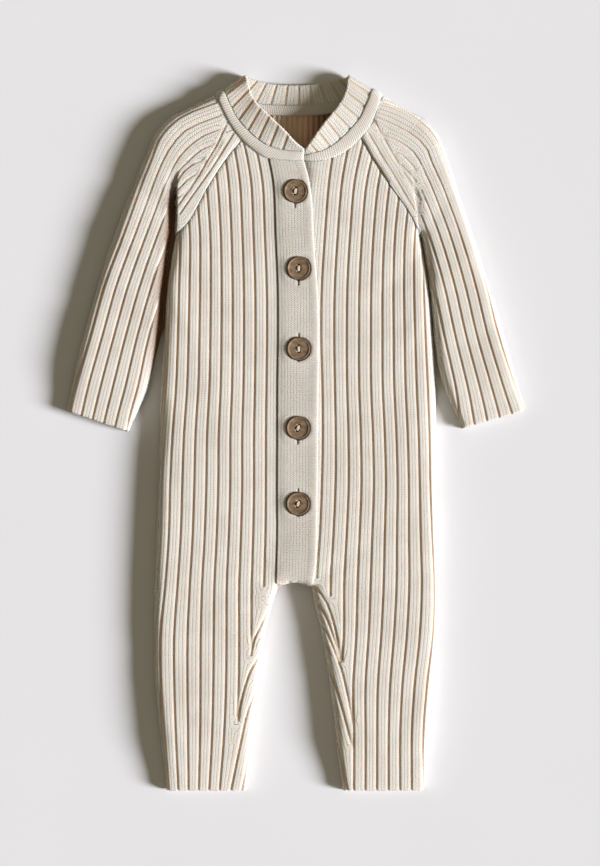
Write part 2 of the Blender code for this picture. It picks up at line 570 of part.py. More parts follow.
def make_sleeve(name, right, outer, inner, valleys, finish, home, cutters):
    """A flattened tube: a ribbed solid with a thin space cut from the armhole to the cuff."""
    top_y = (RAGLAN_RIGHT if right else RAGLAN_LEFT)[0][1]
    outer = curve_through(outer, RIM_STEP)
    neck = front_neck(right, NECK_EDGE, lambda p: top_y + NECK_CORNER < p[1] < SLEEVE_NECK_TOP)
    outline = np.vstack([neck, outer, inner[::-1], raglan(right, -HAIR)[::-1]])
    made = wall(name, outline, valleys, lambda p: rib_level(p, valleys), flat_at(0.0), finish, home)
    side = -1.0 if right else 1.0
    inner_wall = beside(inner, -side * HOLLOW_INSET)[1:]
    outer_wall = beside(outer, side * HOLLOW_INSET)[1:]
    inner_wall = np.vstack([inner_wall, inner_wall[-1] + run_out(inner_wall)])
    outer_wall = np.vstack([outer_wall, outer_wall[-1] + run_out(outer_wall)])
    armhole = raglan(right, HOLLOW_REACH)[:-1]
    throat = front_neck(right, NECK_EDGE - HOLLOW_REACH,
                        lambda p: top_y + NECK_CORNER < p[1] < BACK_NECK_TOP)
    space = np.vstack([throat, outer_wall, inner_wall[::-1], armhole[::-1]])
    cutter = wall(name + "_space", space, [], inner_level, flat_at(BACK_WALL), finish, cutters)
    cutter.hide_render = True
    cutter.display_type = "WIRE"
    cut = made.modifiers.new("space", "BOOLEAN")
    cut.operation = "DIFFERENCE"
    cut.solver = "EXACT"
    cut.object = cutter
    return made


def run_out(line):
    """A short step past the end of a line."""
    step = line[-1] - line[-2]
    return HOLLOW_REACH * step / np.linalg.norm(step)


def neck_axes(place):
    """Unit vectors from the band towards the rim, and square to the wall, at a neck row."""
    rise = (place[3:6] - place[:3]) / np.linalg.norm(place[3:6] - place[:3])
    face = np.cross(rise, place[7:])
    return rise, face / np.linalg.norm(face)


def neck_sections():
    """Fine rows along the neck with the direction of the wall, and the length walked."""
    fine = curve_through(NECK_ROWS, COLLAR_STEP)
    middle = (fine[:, :3] + fine[:, 3:6]) / 2
    length = np.concatenate([[0.0], np.cumsum(np.linalg.norm(np.diff(middle, axis=0), axis=1))])
    return np.hstack([fine, np.gradient(middle, axis=0)]), length


def make_neck_band(finish, home):
    """The rolled band, a soft oval tube that turns under at both folds."""
    fine, length = neck_sections()
    walked = np.concatenate([[0.0], np.cumsum(np.linalg.norm(np.diff(fine[:, :3], axis=0), axis=1))])
    count = int(walked[-1] / ROLL_STEP)
    points = []
    for distance in np.linspace(0.0, walked[-1], count + 1):
        place = np.array([np.interp(distance, walked, fine[:, item]) for item in range(10)])
        rise, face = neck_axes(place)
        to_end = min(distance, walked[-1] - distance)
        thick = ROLL_RADIUS * (BAND_END + (1.0 - BAND_END) * float(ease(to_end / BAND_THINS)))
        middle = place[:3] + rise * (place[6] - ROLL_RADIUS) / 2
        half = (place[6] + ROLL_RADIUS) / 2
        for turn in np.arange(BAND_SIDES) * 2.0 * np.pi / BAND_SIDES:
            points.append(middle + half * np.cos(turn) * rise + thick * np.sin(turn) * face)
    faces = []
    for ring in range(count):
        for item in range(BAND_SIDES):
            after = (item + 1) % BAND_SIDES
            here, there = BAND_SIDES * ring, BAND_SIDES * (ring + 1)
            faces.append((here + item, there + item, there + after, here + after))
    faces.append(tuple(range(BAND_SIDES)))
    faces.append(tuple(BAND_SIDES * count + item for item in range(BAND_SIDES))[::-1])
    return add_mesh("neck_band", points, faces, finish, home)


def collar_section(place, raised):
    """Six points round the collar's wall at a place along the neck rows.

    The ribs are cut into the face that lies upwards, which is the outer face at the front
    and the inner one at the back. Nothing is cut where the collar turns at a fold.
    """
    rim = place[3:6]
    rise, face = neck_axes(place)
    base = place[:3] + rise * (place[6] + COLLAR_SEAM)
    depth = 0.0 if raised else COLLAR_RIB * abs(face[2])
    outer = COLLAR_WALL / 2 - (depth if face[2] > 0 else 0.0)
    inner = COLLAR_WALL / 2 - (depth if face[2] <= 0 else 0.0)
    middle = (base + rim) / 2
    return [base + outer * face, middle + outer * face, rim + outer * face,
            rim - inner * face, middle - inner * face, base - inner * face]


def make_collar(finish, home):
    """The ribbed collar, lofted through sections along the neck rows."""
    fine, length = neck_sections()
    first, last = COLLAR_ENDS[0], length[-1] - COLLAR_ENDS[1]
    places = [(0.0, True)]
    for valley in np.linspace(first, last, int(round((last - first) / COLLAR_PITCH)) + 1):
        places += [(valley - COLLAR_VALLEY, True), (valley, False), (valley + COLLAR_VALLEY, True)]
    places.append((length[-1], True))
    rings = []
    for distance, raised in places:
        place = np.array([np.interp(distance, length, fine[:, item]) for item in range(10)])
        rings.append(collar_section(place, raised))
    points = [point for ring in rings for point in ring]
    faces = []
    for ring in range(len(rings) - 1):
        for item in range(6):
            after = (item + 1) % 6
            faces.append((6 * ring + item, 6 * ring + after, 6 * ring + 6 + after, 6 * ring + 6 + item))
    faces.append((5, 4, 1, 0))
    faces.append((4, 3, 2, 1))
    last = 6 * (len(rings) - 1)
    faces.append((last, last + 1, last + 4, last + 5))
    faces.append((last + 1, last + 2, last + 3, last + 4))
    return add_mesh("collar", points, faces, finish, home)


def make_button(number, place, finish, home, cutters):
    """A turned two-hole button with a raised rim, on the upper band."""
    x, y, turn = place
    base = float(inner_level(np.array([(x, y)]))[0]) + 2 * (BAND_WALL + SEAM) - BUTTON_SINK
    radius, top, face = BUTTON_RADIUS, BUTTON_THICKNESS, BUTTON_THICKNESS - BUTTON_DISH
    profile = [(0.0, face), (radius - BUTTON_RIM[0] - BUTTON_DISH, face), (radius - BUTTON_RIM[0], top),
               (radius - BUTTON_RIM[1], top), (radius, top - BUTTON_EDGE), (radius - BUTTON_EDGE, 0.0),
               (0.0, 0.0)]
    mesh = bpy.data.meshes.new("button_" + str(number))
    mesh.from_pydata([(r * MM, 0.0, z * MM) for r, z in profile],
                     [(place, place + 1) for place in range(len(profile) - 1)], [])
    mesh.materials.append(finish)
    made = bpy.data.objects.new("button_" + str(number), mesh)
    made.location = (x * MM, y * MM, base * MM)
    home.objects.link(made)
    screw = made.modifiers.new("turn", "SCREW")
    screw.steps = BUTTON_STEPS
    screw.render_steps = BUTTON_STEPS
    screw.use_merge_vertices = True
    screw.merge_threshold = 0.00005
    for side in (-1, 1):
        bpy.ops.mesh.primitive_cylinder_add(vertices=HOLE_SIDES, radius=HOLE_RADIUS * MM,
                                            depth=HOLE_CUT * MM)
        cutter = bpy.context.object
        cutter.name = "button_%d_hole_%s" % (number, "lower" if side < 0 else "upper")
        cutter.location = ((x + side * HOLE_REACH * math.sin(math.radians(turn))) * MM,
                           (y + side * HOLE_REACH * math.cos(math.radians(turn))) * MM, base * MM)
        cutter.users_collection[0].objects.unlink(cutter)
        cutters.objects.link(cutter)
        cutter.hide_render = True
        cutter.display_type = "WIRE"
        cut = made.modifiers.new("hole", "BOOLEAN")
        cut.operation = "DIFFERENCE"
        cut.solver = "EXACT"
        cut.object = cutter
    return made


def build_romper():
    clear_scene()
    home = collection("baby_romper")
    cutters = collection("cutters")
    rib = material("rib_knit", KNIT_COLOUR, 0.9)
    plain = material("plain_knit", BAND_COLOUR, 0.9)
    wood = material("button_brown", BUTTON_COLOUR, 0.45)
    make_back(rib, home)
    make_front_left(rib, home)
    make_front_right(rib, home)
    make_sleeve("sleeve_left", False, SLEEVE_OUTER_LEFT, ARM_LEFT,
                sleeve_lines(SLEEVE_LEFT_ROWS, CAP_LEFT, BAND_LEFT), rib, home, cutters)
    make_sleeve("sleeve_right", True, SLEEVE_OUTER_RIGHT, ARM_RIGHT,
                sleeve_lines(SLEEVE_RIGHT_ROWS, CAP_RIGHT, BAND_RIGHT), rib, home, cutters)
    make_placket("placket_under", UNDER_INSET, 0.0, lambda p: 0.0, (), plain, home)
    make_placket("placket_top", SEAM, BAND_WALL + SEAM, sink, sink_rings(), plain, home)
    make_neck_band(plain, home)
    make_collar(rib, home)
    for number, place in enumerate(BUTTON_PLACES, start=1):
        make_button(number, place, wood, home, cutters)


build_romper()
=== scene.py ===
# %% [markdown]
# # A baby romper in thick rib knit, laid flat
# Hand-knitted or machine-knitted, the real romper is a stack of soft walls: a back, two fronts,
# two button bands, two sleeves, a rolled neck band and a ribbed collar. Each one is made here as
# its own closed skin over the solid that it dresses, so every piece can be turned round and seen
# from any side. All tables are in millimetres, and meshes are written in metres.

import bpy
import numpy as np
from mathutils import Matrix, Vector
from mathutils.geometry import delaunay_2d_cdt


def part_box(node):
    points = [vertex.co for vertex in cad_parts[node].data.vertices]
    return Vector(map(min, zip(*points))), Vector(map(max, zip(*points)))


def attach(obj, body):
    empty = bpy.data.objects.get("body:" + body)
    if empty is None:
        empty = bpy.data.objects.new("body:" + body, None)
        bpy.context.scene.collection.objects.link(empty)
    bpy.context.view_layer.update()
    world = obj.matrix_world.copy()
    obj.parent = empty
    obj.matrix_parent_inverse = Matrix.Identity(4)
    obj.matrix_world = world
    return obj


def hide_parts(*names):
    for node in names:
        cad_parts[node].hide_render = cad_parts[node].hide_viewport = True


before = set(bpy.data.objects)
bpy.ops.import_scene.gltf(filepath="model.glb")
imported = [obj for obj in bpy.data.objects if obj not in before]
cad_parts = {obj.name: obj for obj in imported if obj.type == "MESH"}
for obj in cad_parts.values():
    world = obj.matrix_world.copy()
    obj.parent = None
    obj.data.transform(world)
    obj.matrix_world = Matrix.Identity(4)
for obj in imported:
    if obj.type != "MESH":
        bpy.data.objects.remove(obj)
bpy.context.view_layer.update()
MM = 0.001                # one millimetre, in metres
print("solids:", sorted(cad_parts))

# %% [markdown]
# ## The lines of the garment
# A knitter shapes a romper by its ribs: their valleys are the lines that the eye follows. Each
# body table gives three valleys and the side at many heights, and a parabola places the valleys
# between them. Most tables come in pairs, the left half of the garment first and the right half
# second, so that a piece can ask for its own side by 0 or 1. The same tables drive the solids.

# %% Tables of the body
HEM = -274.6
# A row is a height y and, at that height, x of the first, the middle and the last valley of the
# table and of the side. On the left the first valley is the placket's seam, with the number 0.
BODY_ROWS = [[
    (228.0, -27.0, -66.0, -99.0, -92.5), (216.5, -22.5, -63.5, -96.0, -92.5),
    (189.5, -17.0, -60.2, -93.5, -92.5), (151.0, -15.4, -57.9, -89.0, -92.5),
    (113.0, -13.8, -57.3, -89.7, -98.5), (74.5, -13.6, -57.4, -90.7, -101.0),
    (36.5, -14.1, -57.9, -92.0, -103.5), (-2.0, -14.2, -59.5, -94.8, -104.5),
    (-40.0, -14.4, -59.8, -96.6, -105.5), (-78.5, -14.3, -61.0, -97.6, -107.0),
    (-117.0, -15.3, -62.8, -100.3, -108.5), (-155.0, -16.0, -63.3, -103.9, -109.0),
    (-193.5, -16.0, -63.6, -103.6, -108.0), (-231.5, -19.5, -64.5, -101.6, -104.0),
    (HEM, -25.5, -66.8, -98.0, -99.5)], [
    (228.0, 30.5, 72.0, 106.0, 95.5), (216.5, 28.5, 69.0, 102.5, 95.5),
    (189.5, 24.7, 62.5, 96.0, 95.5), (151.0, 21.8, 58.9, 90.6, 95.5),
    (113.0, 19.5, 57.2, 90.0, 101.5), (74.5, 19.0, 56.9, 90.8, 105.0),
    (36.5, 19.9, 57.0, 91.9, 107.0), (-2.0, 20.2, 58.5, 93.5, 107.5),
    (-40.0, 19.5, 59.2, 94.3, 107.5), (-78.5, 18.0, 58.0, 95.0, 108.0),
    (-117.0, 15.6, 56.7, 95.9, 109.0), (-155.0, 17.5, 55.2, 94.3, 108.0),
    (-193.5, 15.0, 52.8, 90.4, 105.0), (-231.5, 17.5, 52.9, 88.2, 102.0),
    (HEM, 17.5, 52.9, 88.4, 98.5)]]
FIRST_VALLEY, MIDDLE_VALLEY, LAST_VALLEY, VALLEY_COUNTS = (0, 1), 5, 9, (10, 11)
SIDE_TOP = 151.0                          # height of the underarm
RAGLAN = [[(-41.8, 223.8), (-54.5, 208.0), (-67.5, 188.0), (-81.0, 163.5), (-92.5, 151.0)],
          [(50.0, 225.0), (58.0, 210.5), (72.0, 189.0), (86.0, 169.5), (95.5, 151.0)]]
INSEAM = [[(-14.2, -119.5), (-17.0, -128.5), (-21.5, -145.0), (-25.5, -166.5),
           (-30.5, -205.0), (-33.5, -232.0), (-37.5, HEM)],
          [(12.6, -119.5), (13.6, -129.0), (18.0, -146.0), (22.5, -170.5),
           (28.5, -212.5), (32.0, -247.0), (36.0, HEM)]]
CROTCH = [(-10.0, -117.0), (-4.5, -115.2), (1.0, -115.0), (5.5, -116.0), (9.5, -117.6)]
# Short valleys that slant in from the inseam, and where the long ones beside them end.
SHAPING = [[
    [(-21.2, -135.2), (-27.1, -147.7), (-32.2, -158.6), (-34.5, -170.4)],
    [(-27.9, -169.6), (-34.9, -182.1), (-39.6, -195.4), (-43.1, -211.0), (-44.3, -220.2)],
    [(-31.4, -196.9), (-34.9, -207.1), (-38.8, -219.6), (-50.5, -276.0)],
    [(-32.0, -228.0), (-36.5, -246.0), (-42.0, -276.0)],
], [
    [(14.0, -118.5), (19.0, -123.5), (23.7, -131.3), (30.0, -150.8), (34.2, -173.5)],
    [(17.5, -132.1), (22.9, -141.4), (27.6, -154.0), (33.5, -171.9)],
    [(19.0, -146.2), (24.5, -155.5), (33.9, -179.7), (38.5, -197.7), (42.8, -220.2)],
    [(24.5, -175.8), (27.6, -186.0), (34.6, -209.4), (42.0, -238.0)],
    [(27.0, -212.0), (34.0, -244.5), (39.5, -276.0)],
]]
VALLEY_ENDS = [{1: -121.0, 2: -166.5, 3: -220.0}, {1: -115.5, 2: -126.5, 3: -175.5}]
PLACKET_EDGE = [(6.0, 208.5), (10.0, 193.5), (12.5, 174.5), (13.5, 151.0), (17.0, 101.5),
                (17.5, 67.0), (17.0, 12.5), (16.5, -48.5), (15.5, -97.5), (13.0, -116.0)]
print("heights in the body tables:", [len(rows) for rows in BODY_ROWS])

# %% Tables of the sleeves
# A row is a height y and, at that height, x of the first and the last valley of the arm.
SLEEVE_ROWS = [[(189.5, -118.5, -74.0), (151.5, -132.0, -88.8), (113.0, -146.5, -101.5),
                (74.5, -157.2, -112.6), (36.5, -168.5, -121.0), (17.0, -173.0, -126.5),
                (-6.0, -178.5, -132.0)],
               [(189.5, 120.0, 76.5), (151.5, 133.5, 93.3), (113.0, 145.0, 104.9),
                (74.5, 154.7, 113.1), (36.5, 167.0, 121.6), (17.0, 174.3, 124.7),
                (-6.0, 181.0, 128.0)]]
# Sleeve cap: the valleys from the raglan or the neck round to the first row above.
CAP = [[
    [(-56.5, 254.2), (-60.2, 252.9), (-72.7, 248.4), (-85.9, 243.3), (-96.8, 234.5),
     (-104.2, 226.4), (-110.8, 208.7), (-118.5, 189.5)],
    [(-57.5, 242.9), (-61.0, 241.8), (-74.8, 236.7), (-85.9, 230.9), (-94.7, 221.3), (-99.8, 212.5),
     (-104.2, 203.8), (-109.6, 189.5)],
    [(-54.5, 233.4), (-57.5, 232.5), (-68.9, 228.7), (-80.0, 221.3), (-87.3, 214.1), (-93.1, 205.2),
     (-98.0, 195.0), (-100.7, 189.5)],
    [(-62.5, 221.5), (-71.6, 216.0), (-79.4, 208.8), (-86.0, 200.0), (-91.8, 189.5)],
    [(-70.5, 210.0), (-73.7, 205.0), (-76.9, 199.9), (-80.0, 194.7), (-82.9, 189.5)],
    [(-74.5, 203.0), (-74.8, 199.8), (-74.8, 196.5), (-74.6, 193.1), (-74.0, 189.5)]], [
    [(63.8, 251.6), (67.3, 250.6), (78.4, 247.7), (87.1, 242.6), (94.4, 237.5), (101.8, 230.9),
     (106.2, 225.7), (109.8, 218.4), (112.8, 209.6), (120.0, 189.5)],
    [(61.4, 240.8), (64.4, 239.6), (71.0, 236.7), (78.4, 233.0), (85.6, 229.4), (92.2, 225.0),
     (96.7, 220.6), (100.3, 215.5), (103.9, 205.2), (111.4, 189.5)],
    [(64.5, 228.2), (68.8, 226.4), (76.9, 222.8), (83.5, 219.2), (88.6, 215.5), (93.0, 209.6),
     (96.7, 202.3), (102.6, 189.5)],
    [(73.0, 216.0), (79.4, 210.7), (84.9, 204.6), (89.8, 197.6), (93.9, 189.5)],
    [(78.0, 207.0), (80.4, 202.5), (82.4, 198.2), (84.0, 193.9), (85.2, 189.5)],
    [(82.0, 200.0), (81.3, 197.7), (79.9, 195.3), (78.2, 192.5), (76.5, 189.5)]]]
# The two valleys of the band beside each raglan seam.
ARM_BAND = [[[(-48.5, 228.0), (-57.5, 213.5), (-66.5, 199.5), (-76.5, 185.5), (-89.0, 167.5)],
             [(-54.0, 235.0), (-61.0, 219.5), (-68.5, 207.5), (-74.5, 196.5), (-90.5, 173.5)]],
            [[(55.0, 229.0), (65.0, 212.0), (73.0, 199.0), (79.5, 188.0), (91.5, 168.0)],
             [(60.5, 237.0), (67.0, 225.0), (73.5, 213.5), (80.5, 202.0), (95.0, 178.0)]]]
OUTER = [[(-62.4, 258.6), (-81.0, 250.0), (-95.0, 242.5), (-104.0, 234.0), (-110.5, 224.0),
          (-125.5, 188.0), (-138.5, 155.0), (-151.5, 115.5), (-161.0, 82.5), (-168.5, 51.5),
          (-176.0, 16.5)],
         [(67.0, 258.0), (79.5, 250.5), (99.0, 240.0), (108.0, 230.0), (113.5, 218.5),
          (126.5, 178.0), (139.5, 138.5), (151.5, 101.5), (162.5, 63.0), (170.0, 36.5),
          (176.0, 16.5)]]
INNER = [[(-104.0, 73.0), (-107.0, 61.0), (-114.5, 32.5), (-128.5, 0.5)],
         [(107.6, 60.0), (109.8, 46.5), (115.0, 31.0), (128.0, 3.0)]]
SLEEVE_LIES_TO = [80.0, 68.0]             # down to this height a sleeve lies against the body
# Sleeve valleys that come out of the underarm fold, and the height where each starts.
ARM_TOPS = [{3: 176.0, 4: 150.0, 5: 102.0, 6: 66.0}, {3: 186.0, 4: 168.0, 5: 146.0, 6: 58.0}]
# Short valleys of the cap, from the raglan band into the underarm fold.
CAP_SHORT = [[[(-63.1, 220.6), (-72.8, 216.4), (-82.2, 208.0), (-89.6, 200.5), (-92.5, 194.2)],
              [(-72.0, 208.0), (-78.5, 205.9), (-85.8, 200.0), (-93.0, 189.0)],
              [(-75.6, 198.5), (-83.6, 193.4), (-93.5, 182.0)],
              [(-81.4, 186.8), (-89.6, 180.4), (-94.5, 175.0)]],
             [[(76.1, 213.9), (81.3, 211.8), (87.2, 205.9), (91.5, 200.5)],
              [(80.5, 203.7), (85.6, 199.3), (91.5, 192.0)],
              [(85.5, 193.0), (93.0, 183.0)]]]
# The line of the fold at each underarm.
UNDERARM = [[(-90.5, 206.0), (-91.8, 191.5), (-92.2, 172.4), (-92.2, 162.8), (-93.5, 151.3),
             (-95.0, 141.7), (-96.9, 128.3), (-98.4, 114.9), (-99.8, 99.6), (-102.0, 78.5),
             (-104.6, 40.2), (-106.5, 9.6)],
            [(88.5, 206.0), (90.6, 190.0), (92.6, 172.0), (94.6, 155.0), (97.5, 138.0),
             (101.0, 118.0)]]
# Its depth, its reach towards the sleeve, and how strongly the wool is painted in deep shade there.
UNDERARM_SHAPE = [(8.4, 9.0, 1.0), (1.2, 6.0, 0.3)]
# The underarm is painted darker out to this distance from the fold, as painted shade.
PAINTED_SHADE_REACH = 15.0                               # how far from the body an underarm looks dark
print("valleys over each cap:", [len(lines) for lines in CAP])

# %% Tables of the neck and the buttons
# One row a section, from the front edge round the back: roll x, y, z; rim x, y, z; band reach.
NECK_ROWS = [
    (5.8, 210.4, 14.9, 6.4, 216.2, 18.5, 5.4), (-5.0, 210.4, 13.0, -0.8, 222.2, 19.3, 6.4),
    (-15.0, 210.9, 12.3, -7.5, 230.0, 19.7, 6.8), (-25.0, 214.2, 12.1, -15.0, 237.5, 18.9, 6.5),
    (-34.5, 221.0, 11.9, -22.0, 244.5, 17.9, 6.1), (-42.8, 229.3, 11.8, -28.5, 251.0, 16.5, 5.6),
    (-49.0, 237.9, 11.6, -32.8, 257.2, 14.7, 5.0), (-53.4, 246.3, 11.5, -35.2, 263.8, 13.5, 4.8),
    (-56.0, 252.2, 11.4, -36.3, 268.8, 12.3, 4.6), (-57.7, 256.4, 10.7, -37.2, 271.4, 10.4, 4.5),
    (-58.8, 259.0, 6.6, -38.0, 273.5, 6.4, 4.4), (-57.2, 258.4, 3.1, -36.8, 272.9, 2.9, 4.5),
    (-53.0, 256.6, 2.7, -33.6, 271.6, 2.0, 4.6), (-43.0, 251.6, 2.7, -28.0, 270.0, 1.7, 4.9),
    (-30.0, 247.6, 2.7, -20.5, 268.2, 1.6, 5.2), (-15.0, 245.9, 2.7, -10.5, 267.2, 1.6, 5.4),
    (2.0, 245.6, 2.7, 2.0, 266.9, 1.6, 5.4), (19.0, 246.4, 2.7, 14.0, 267.6, 1.6, 5.4),
    (35.0, 249.2, 2.7, 24.5, 269.4, 1.6, 5.6), (48.0, 252.8, 2.7, 31.5, 271.6, 1.7, 6.0),
    (57.6, 256.8, 2.7, 35.8, 272.0, 2.0, 6.4), (61.8, 258.4, 3.1, 38.4, 272.9, 2.9, 6.8),
    (63.4, 258.8, 6.6, 39.4, 273.5, 6.4, 6.9), (62.3, 256.2, 10.7, 39.2, 271.0, 10.4, 6.9),
    (60.9, 251.6, 11.4, 38.6, 267.2, 12.3, 7.0), (58.2, 244.4, 11.5, 37.2, 260.4, 13.5, 7.5),
    (54.4, 235.8, 11.6, 33.5, 252.8, 14.7, 7.8), (48.6, 228.6, 11.8, 29.5, 246.9, 16.5, 8.1),
    (41.0, 221.0, 11.9, 24.2, 240.6, 17.9, 7.9), (32.0, 214.8, 12.1, 17.9, 232.1, 18.9, 7.0),
    (23.0, 211.6, 12.3, 11.7, 223.0, 18.7, 6.0), (15.0, 210.4, 11.9, 8.2, 218.2, 16.9, 5.4),
    (8.5, 210.2, 10.7, 5.6, 214.9, 12.9, 3.8), (3.8, 210.2, 9.8, 3.2, 213.9, 10.7, 2.6)]
ROLL_RADIUS, BUTTON_RADIUS = 2.6, 9.0
# Centre x, y, and how far its pair of holes is turned from upright, in degrees.
BUTTONS = [(-0.5, 184.5, 8), (2.0, 125.5, 0), (2.0, 64.0, -5), (1.5, 3.5, 18), (1.5, -54.5, 17)]
print("sections round the neck:", len(NECK_ROWS), "and buttons:", len(BUTTONS))

# %% [markdown]
# ## Smooth lines
# Cloth has no corners, so every table is read as a smooth curve. A line can also be moved
# sideways, as a tailor adds a seam allowance, and any point can be told how far it is from a line
# and how far along the line it lies. These tools shape everything that follows.


# %% Curves, side steps and distances
def ease(share):
    """0 to 1, flat at both ends."""
    share = np.clip(share, 0.0, 1.0)
    return share * share * (3.0 - 2.0 * share)


def rounded(share):
    """0 to 1 along a quarter circle: steep at the start, flat at the end."""
    return np.sqrt(np.clip(1.0 - (1.0 - np.clip(share, 0.0, 1.0)) ** 2, 0.0, 1.0))


def unit(vectors):
    """The same directions, each one long."""
    return vectors / np.linalg.norm(vectors, axis=1)[:, None]


def curve_through(rows, spacing):
    """Points about spacing apart on a smooth curve through the rows."""
    rows = np.asarray(rows, dtype=float)
    padded = np.vstack([2 * rows[0] - rows[1], rows, 2 * rows[-1] - rows[-2]])
    found = []
    for first, start, end, last in zip(padded, padded[1:], padded[2:], padded[3:]):
        count = max(1, int(round(np.linalg.norm((end - start)[:3]) / spacing)))
        for t in np.arange(count) / count:
            found.append(0.5 * (2 * start + (end - first) * t
                                + (2 * first - 5 * start + 4 * end - last) * t ** 2
                                + (3 * start - first - 3 * end + last) * t ** 3))
    return np.array(found + [rows[-1]])


def curves_through(tables, spacing):
    """Several tables, each read as a smooth curve."""
    return [curve_through(rows, spacing) for rows in tables]


def beside(line, distance):
    """The line moved sideways, to the left of its direction."""
    along = unit(np.gradient(line, axis=0))
    return line + distance * np.stack([-along[:, 1], along[:, 0]], axis=1)


def nearest(line, points):
    """Gap from each point to a line, and the place along the line that is nearest to it."""
    gap, place, walked = np.full(len(points), 1e6), np.zeros(len(points)), 0.0
    for start, end in zip(line, line[1:]):
        reach = end - start
        length = float(np.hypot(*reach))
        share = np.clip((points - start) @ reach / length ** 2, 0.0, 1.0)
        here = np.hypot(*(points - start - share[:, None] * reach).T)
        closer = here < gap
        gap[closer] = here[closer]
        place[closer] = walked + share[closer] * length
        walked += length
    return gap, place


def gap_to(lines, points):
    """Gap from each point to the nearest of several lines."""
    return np.min([nearest(line, points)[0] for line in lines], axis=0)


print("half way up:", float(ease(0.5)), "eased,", round(float(rounded(0.5)), 3), "rounded")


# %% Lines that several pieces share
RIM_STEP = 1.5            # distance between two mesh points along an outline
FIELD_STEP = 7.0          # the same for lines that only measure distances
SLEEVE_GAP = 0.7          # room between a sleeve and the side of the body


def body_line(right, number, spacing):
    """The valley with this number, or a line between two, by the table's parabola."""
    start = FIRST_VALLEY[right]
    first, middle, last = number - start, number - MIDDLE_VALLEY, number - LAST_VALLEY
    low, high, whole = MIDDLE_VALLEY - start, LAST_VALLEY - MIDDLE_VALLEY, LAST_VALLEY - start
    return curve_through([(row[1] * middle * last / (low * whole)
                           - row[2] * first * last / (low * high)
                           + row[3] * first * middle / (whole * high), row[0])
                          for row in BODY_ROWS[right]], spacing)


def side_line(right, spacing):
    """The side of the body, from the underarm to the hem."""
    rows = [(row[4], row[0]) for row in BODY_ROWS[right] if row[0] <= SIDE_TOP]
    return curve_through(rows, spacing)


def arm_side(right, spacing):
    """Inner side of a sleeve: along the body first, then free of it down to the cuff."""
    side = side_line(right, spacing)
    side = side[side[:, 1] > SLEEVE_LIES_TO[right]]
    side = side + np.array([SLEEVE_GAP if right else -SLEEVE_GAP, 0.0])
    side[0, 1] -= SLEEVE_GAP
    return np.vstack([side, curve_through(INNER[right], spacing)])


ROLL = curve_through(NECK_ROWS, RIM_STEP)[:, :3]
FOLD_LEFT, FOLD_RIGHT = int(np.argmin(ROLL[:, 0])), int(np.argmax(ROLL[:, 0]))
BODY_SIDES = [side_line(0, FIELD_STEP), side_line(1, FIELD_STEP), np.array(CROTCH)]
BODY_SIDES += curves_through(INSEAM, FIELD_STEP)
ARM_SIDES = [arm_side(0, FIELD_STEP), arm_side(1, FIELD_STEP)] + curves_through(OUTER, FIELD_STEP)
HEMS = [np.array([(-110.0, HEM), (-30.0, HEM)]), np.array([(30.0, HEM), (110.0, HEM)])]
CUFFS = [np.array([OUTER[right][-1], INNER[right][-1]]) for right in (0, 1)]
roll_length = float(np.linalg.norm(np.diff(ROLL, axis=0), axis=1).sum())
print("neck roll is", round(roll_length), "mm long")

# %% [markdown]
# ## How the upper layer lies
# Laid flat, a knitted garment is a pillow a centimetre high: it rolls over at its sides, stands
# off its own back in the middle, and settles at open hems. Soft, uneven creases break the
# evenness, and a list of short troughs and ridges places them.

# %% The pillow and its creases
SEAM_LEVEL = 3.6                      # height of the upper layer's inner face at a side
LOFT, ROLL_WIDTH = 6.0, 10.0          # how far it rises from there, and over what width
OPEN_LOFT, OPEN_WIDTH = 0.35, 40.0    # share of that rise at an open hem, and where it ends
FRONT_WALL, BACK_WALL = 2.0, 3.3      # the upper wall under its ribs, and the back
MIDDLE = 2.5                          # height where the faces of one wall meet at a side
# Start x, y, end x, y, half width and height in millimetres; a trough has a height below 0.
CREASES = [
    (-20, -108, -62, -86, 7.0, -0.8), (-16, -122, -58, -138, 8.0, 0.7),
    (18, -110, 60, -84, 7.0, -0.8), (20, -124, 55, -150, 8.0, 0.6), (-8, -112, -10, -70, 6.0, -0.6),
    (-100, 140, -62, 96, 9.0, -0.7), (-102, 118, -70, 60, 7.0, 0.5), (101, 142, 64, 102, 9.0, -0.7),
    (104, 110, 76, 52, 7.0, 0.5), (-106, 20, -88, -60, 9.0, -0.6), (108, 0, 90, -72, 9.0, -0.5),
    (-104, -170, -80, -230, 8.0, -0.5), (104, -160, 78, -232, 8.0, -0.6),
    (-62, 40, -44, -40, 12.0, 0.5), (60, 60, 48, -30, 12.0, 0.4), (-118, 188, -92, 158, 7.0, -0.8),
    (-132, 150, -104, 120, 8.0, 0.6), (-150, 96, -118, 84, 7.0, -0.6),
    (119, 182, 97, 152, 7.0, -0.8), (136, 140, 110, 112, 8.0, 0.6), (156, 80, 124, 66, 7.0, -0.6),
    (-60, 218, -50, 186, 6.0, -0.4), (64, 214, 54, 182, 6.0, -0.4)]


def creases(points):
    """Height that the soft creases add, in millimetres."""
    total = np.zeros(len(points))
    for x0, y0, x1, y1, width, height in CREASES:
        gap = gap_to([np.array([(x0, y0), (x1, y1)], dtype=float)], points)
        total += height * np.exp(-(gap / width) ** 2)
    return total


def inner_level(points):
    """Height of the upper layer's inner face over the floor."""
    roll = rounded(gap_to(BODY_SIDES + ARM_SIDES, points) / ROLL_WIDTH)
    settle = OPEN_LOFT + (1.0 - OPEN_LOFT) * ease(gap_to(HEMS + CUFFS, points) / OPEN_WIDTH)
    return SEAM_LEVEL + LOFT * roll * settle


print(len(CREASES), "creases on a pillow that is", SEAM_LEVEL + LOFT, "mm high inside")


# %% [markdown]
# ## Ribs
# A rib is three knit columns that stand up between purl columns, which sink out of sight and
# leave a narrow dark valley. At any point the two nearest valleys say how wide the rib is and
# how far across it the point lies. That gives the round flank, the three small crowns and,
# carried to the finish as numbers on the mesh, the place of every stitch.

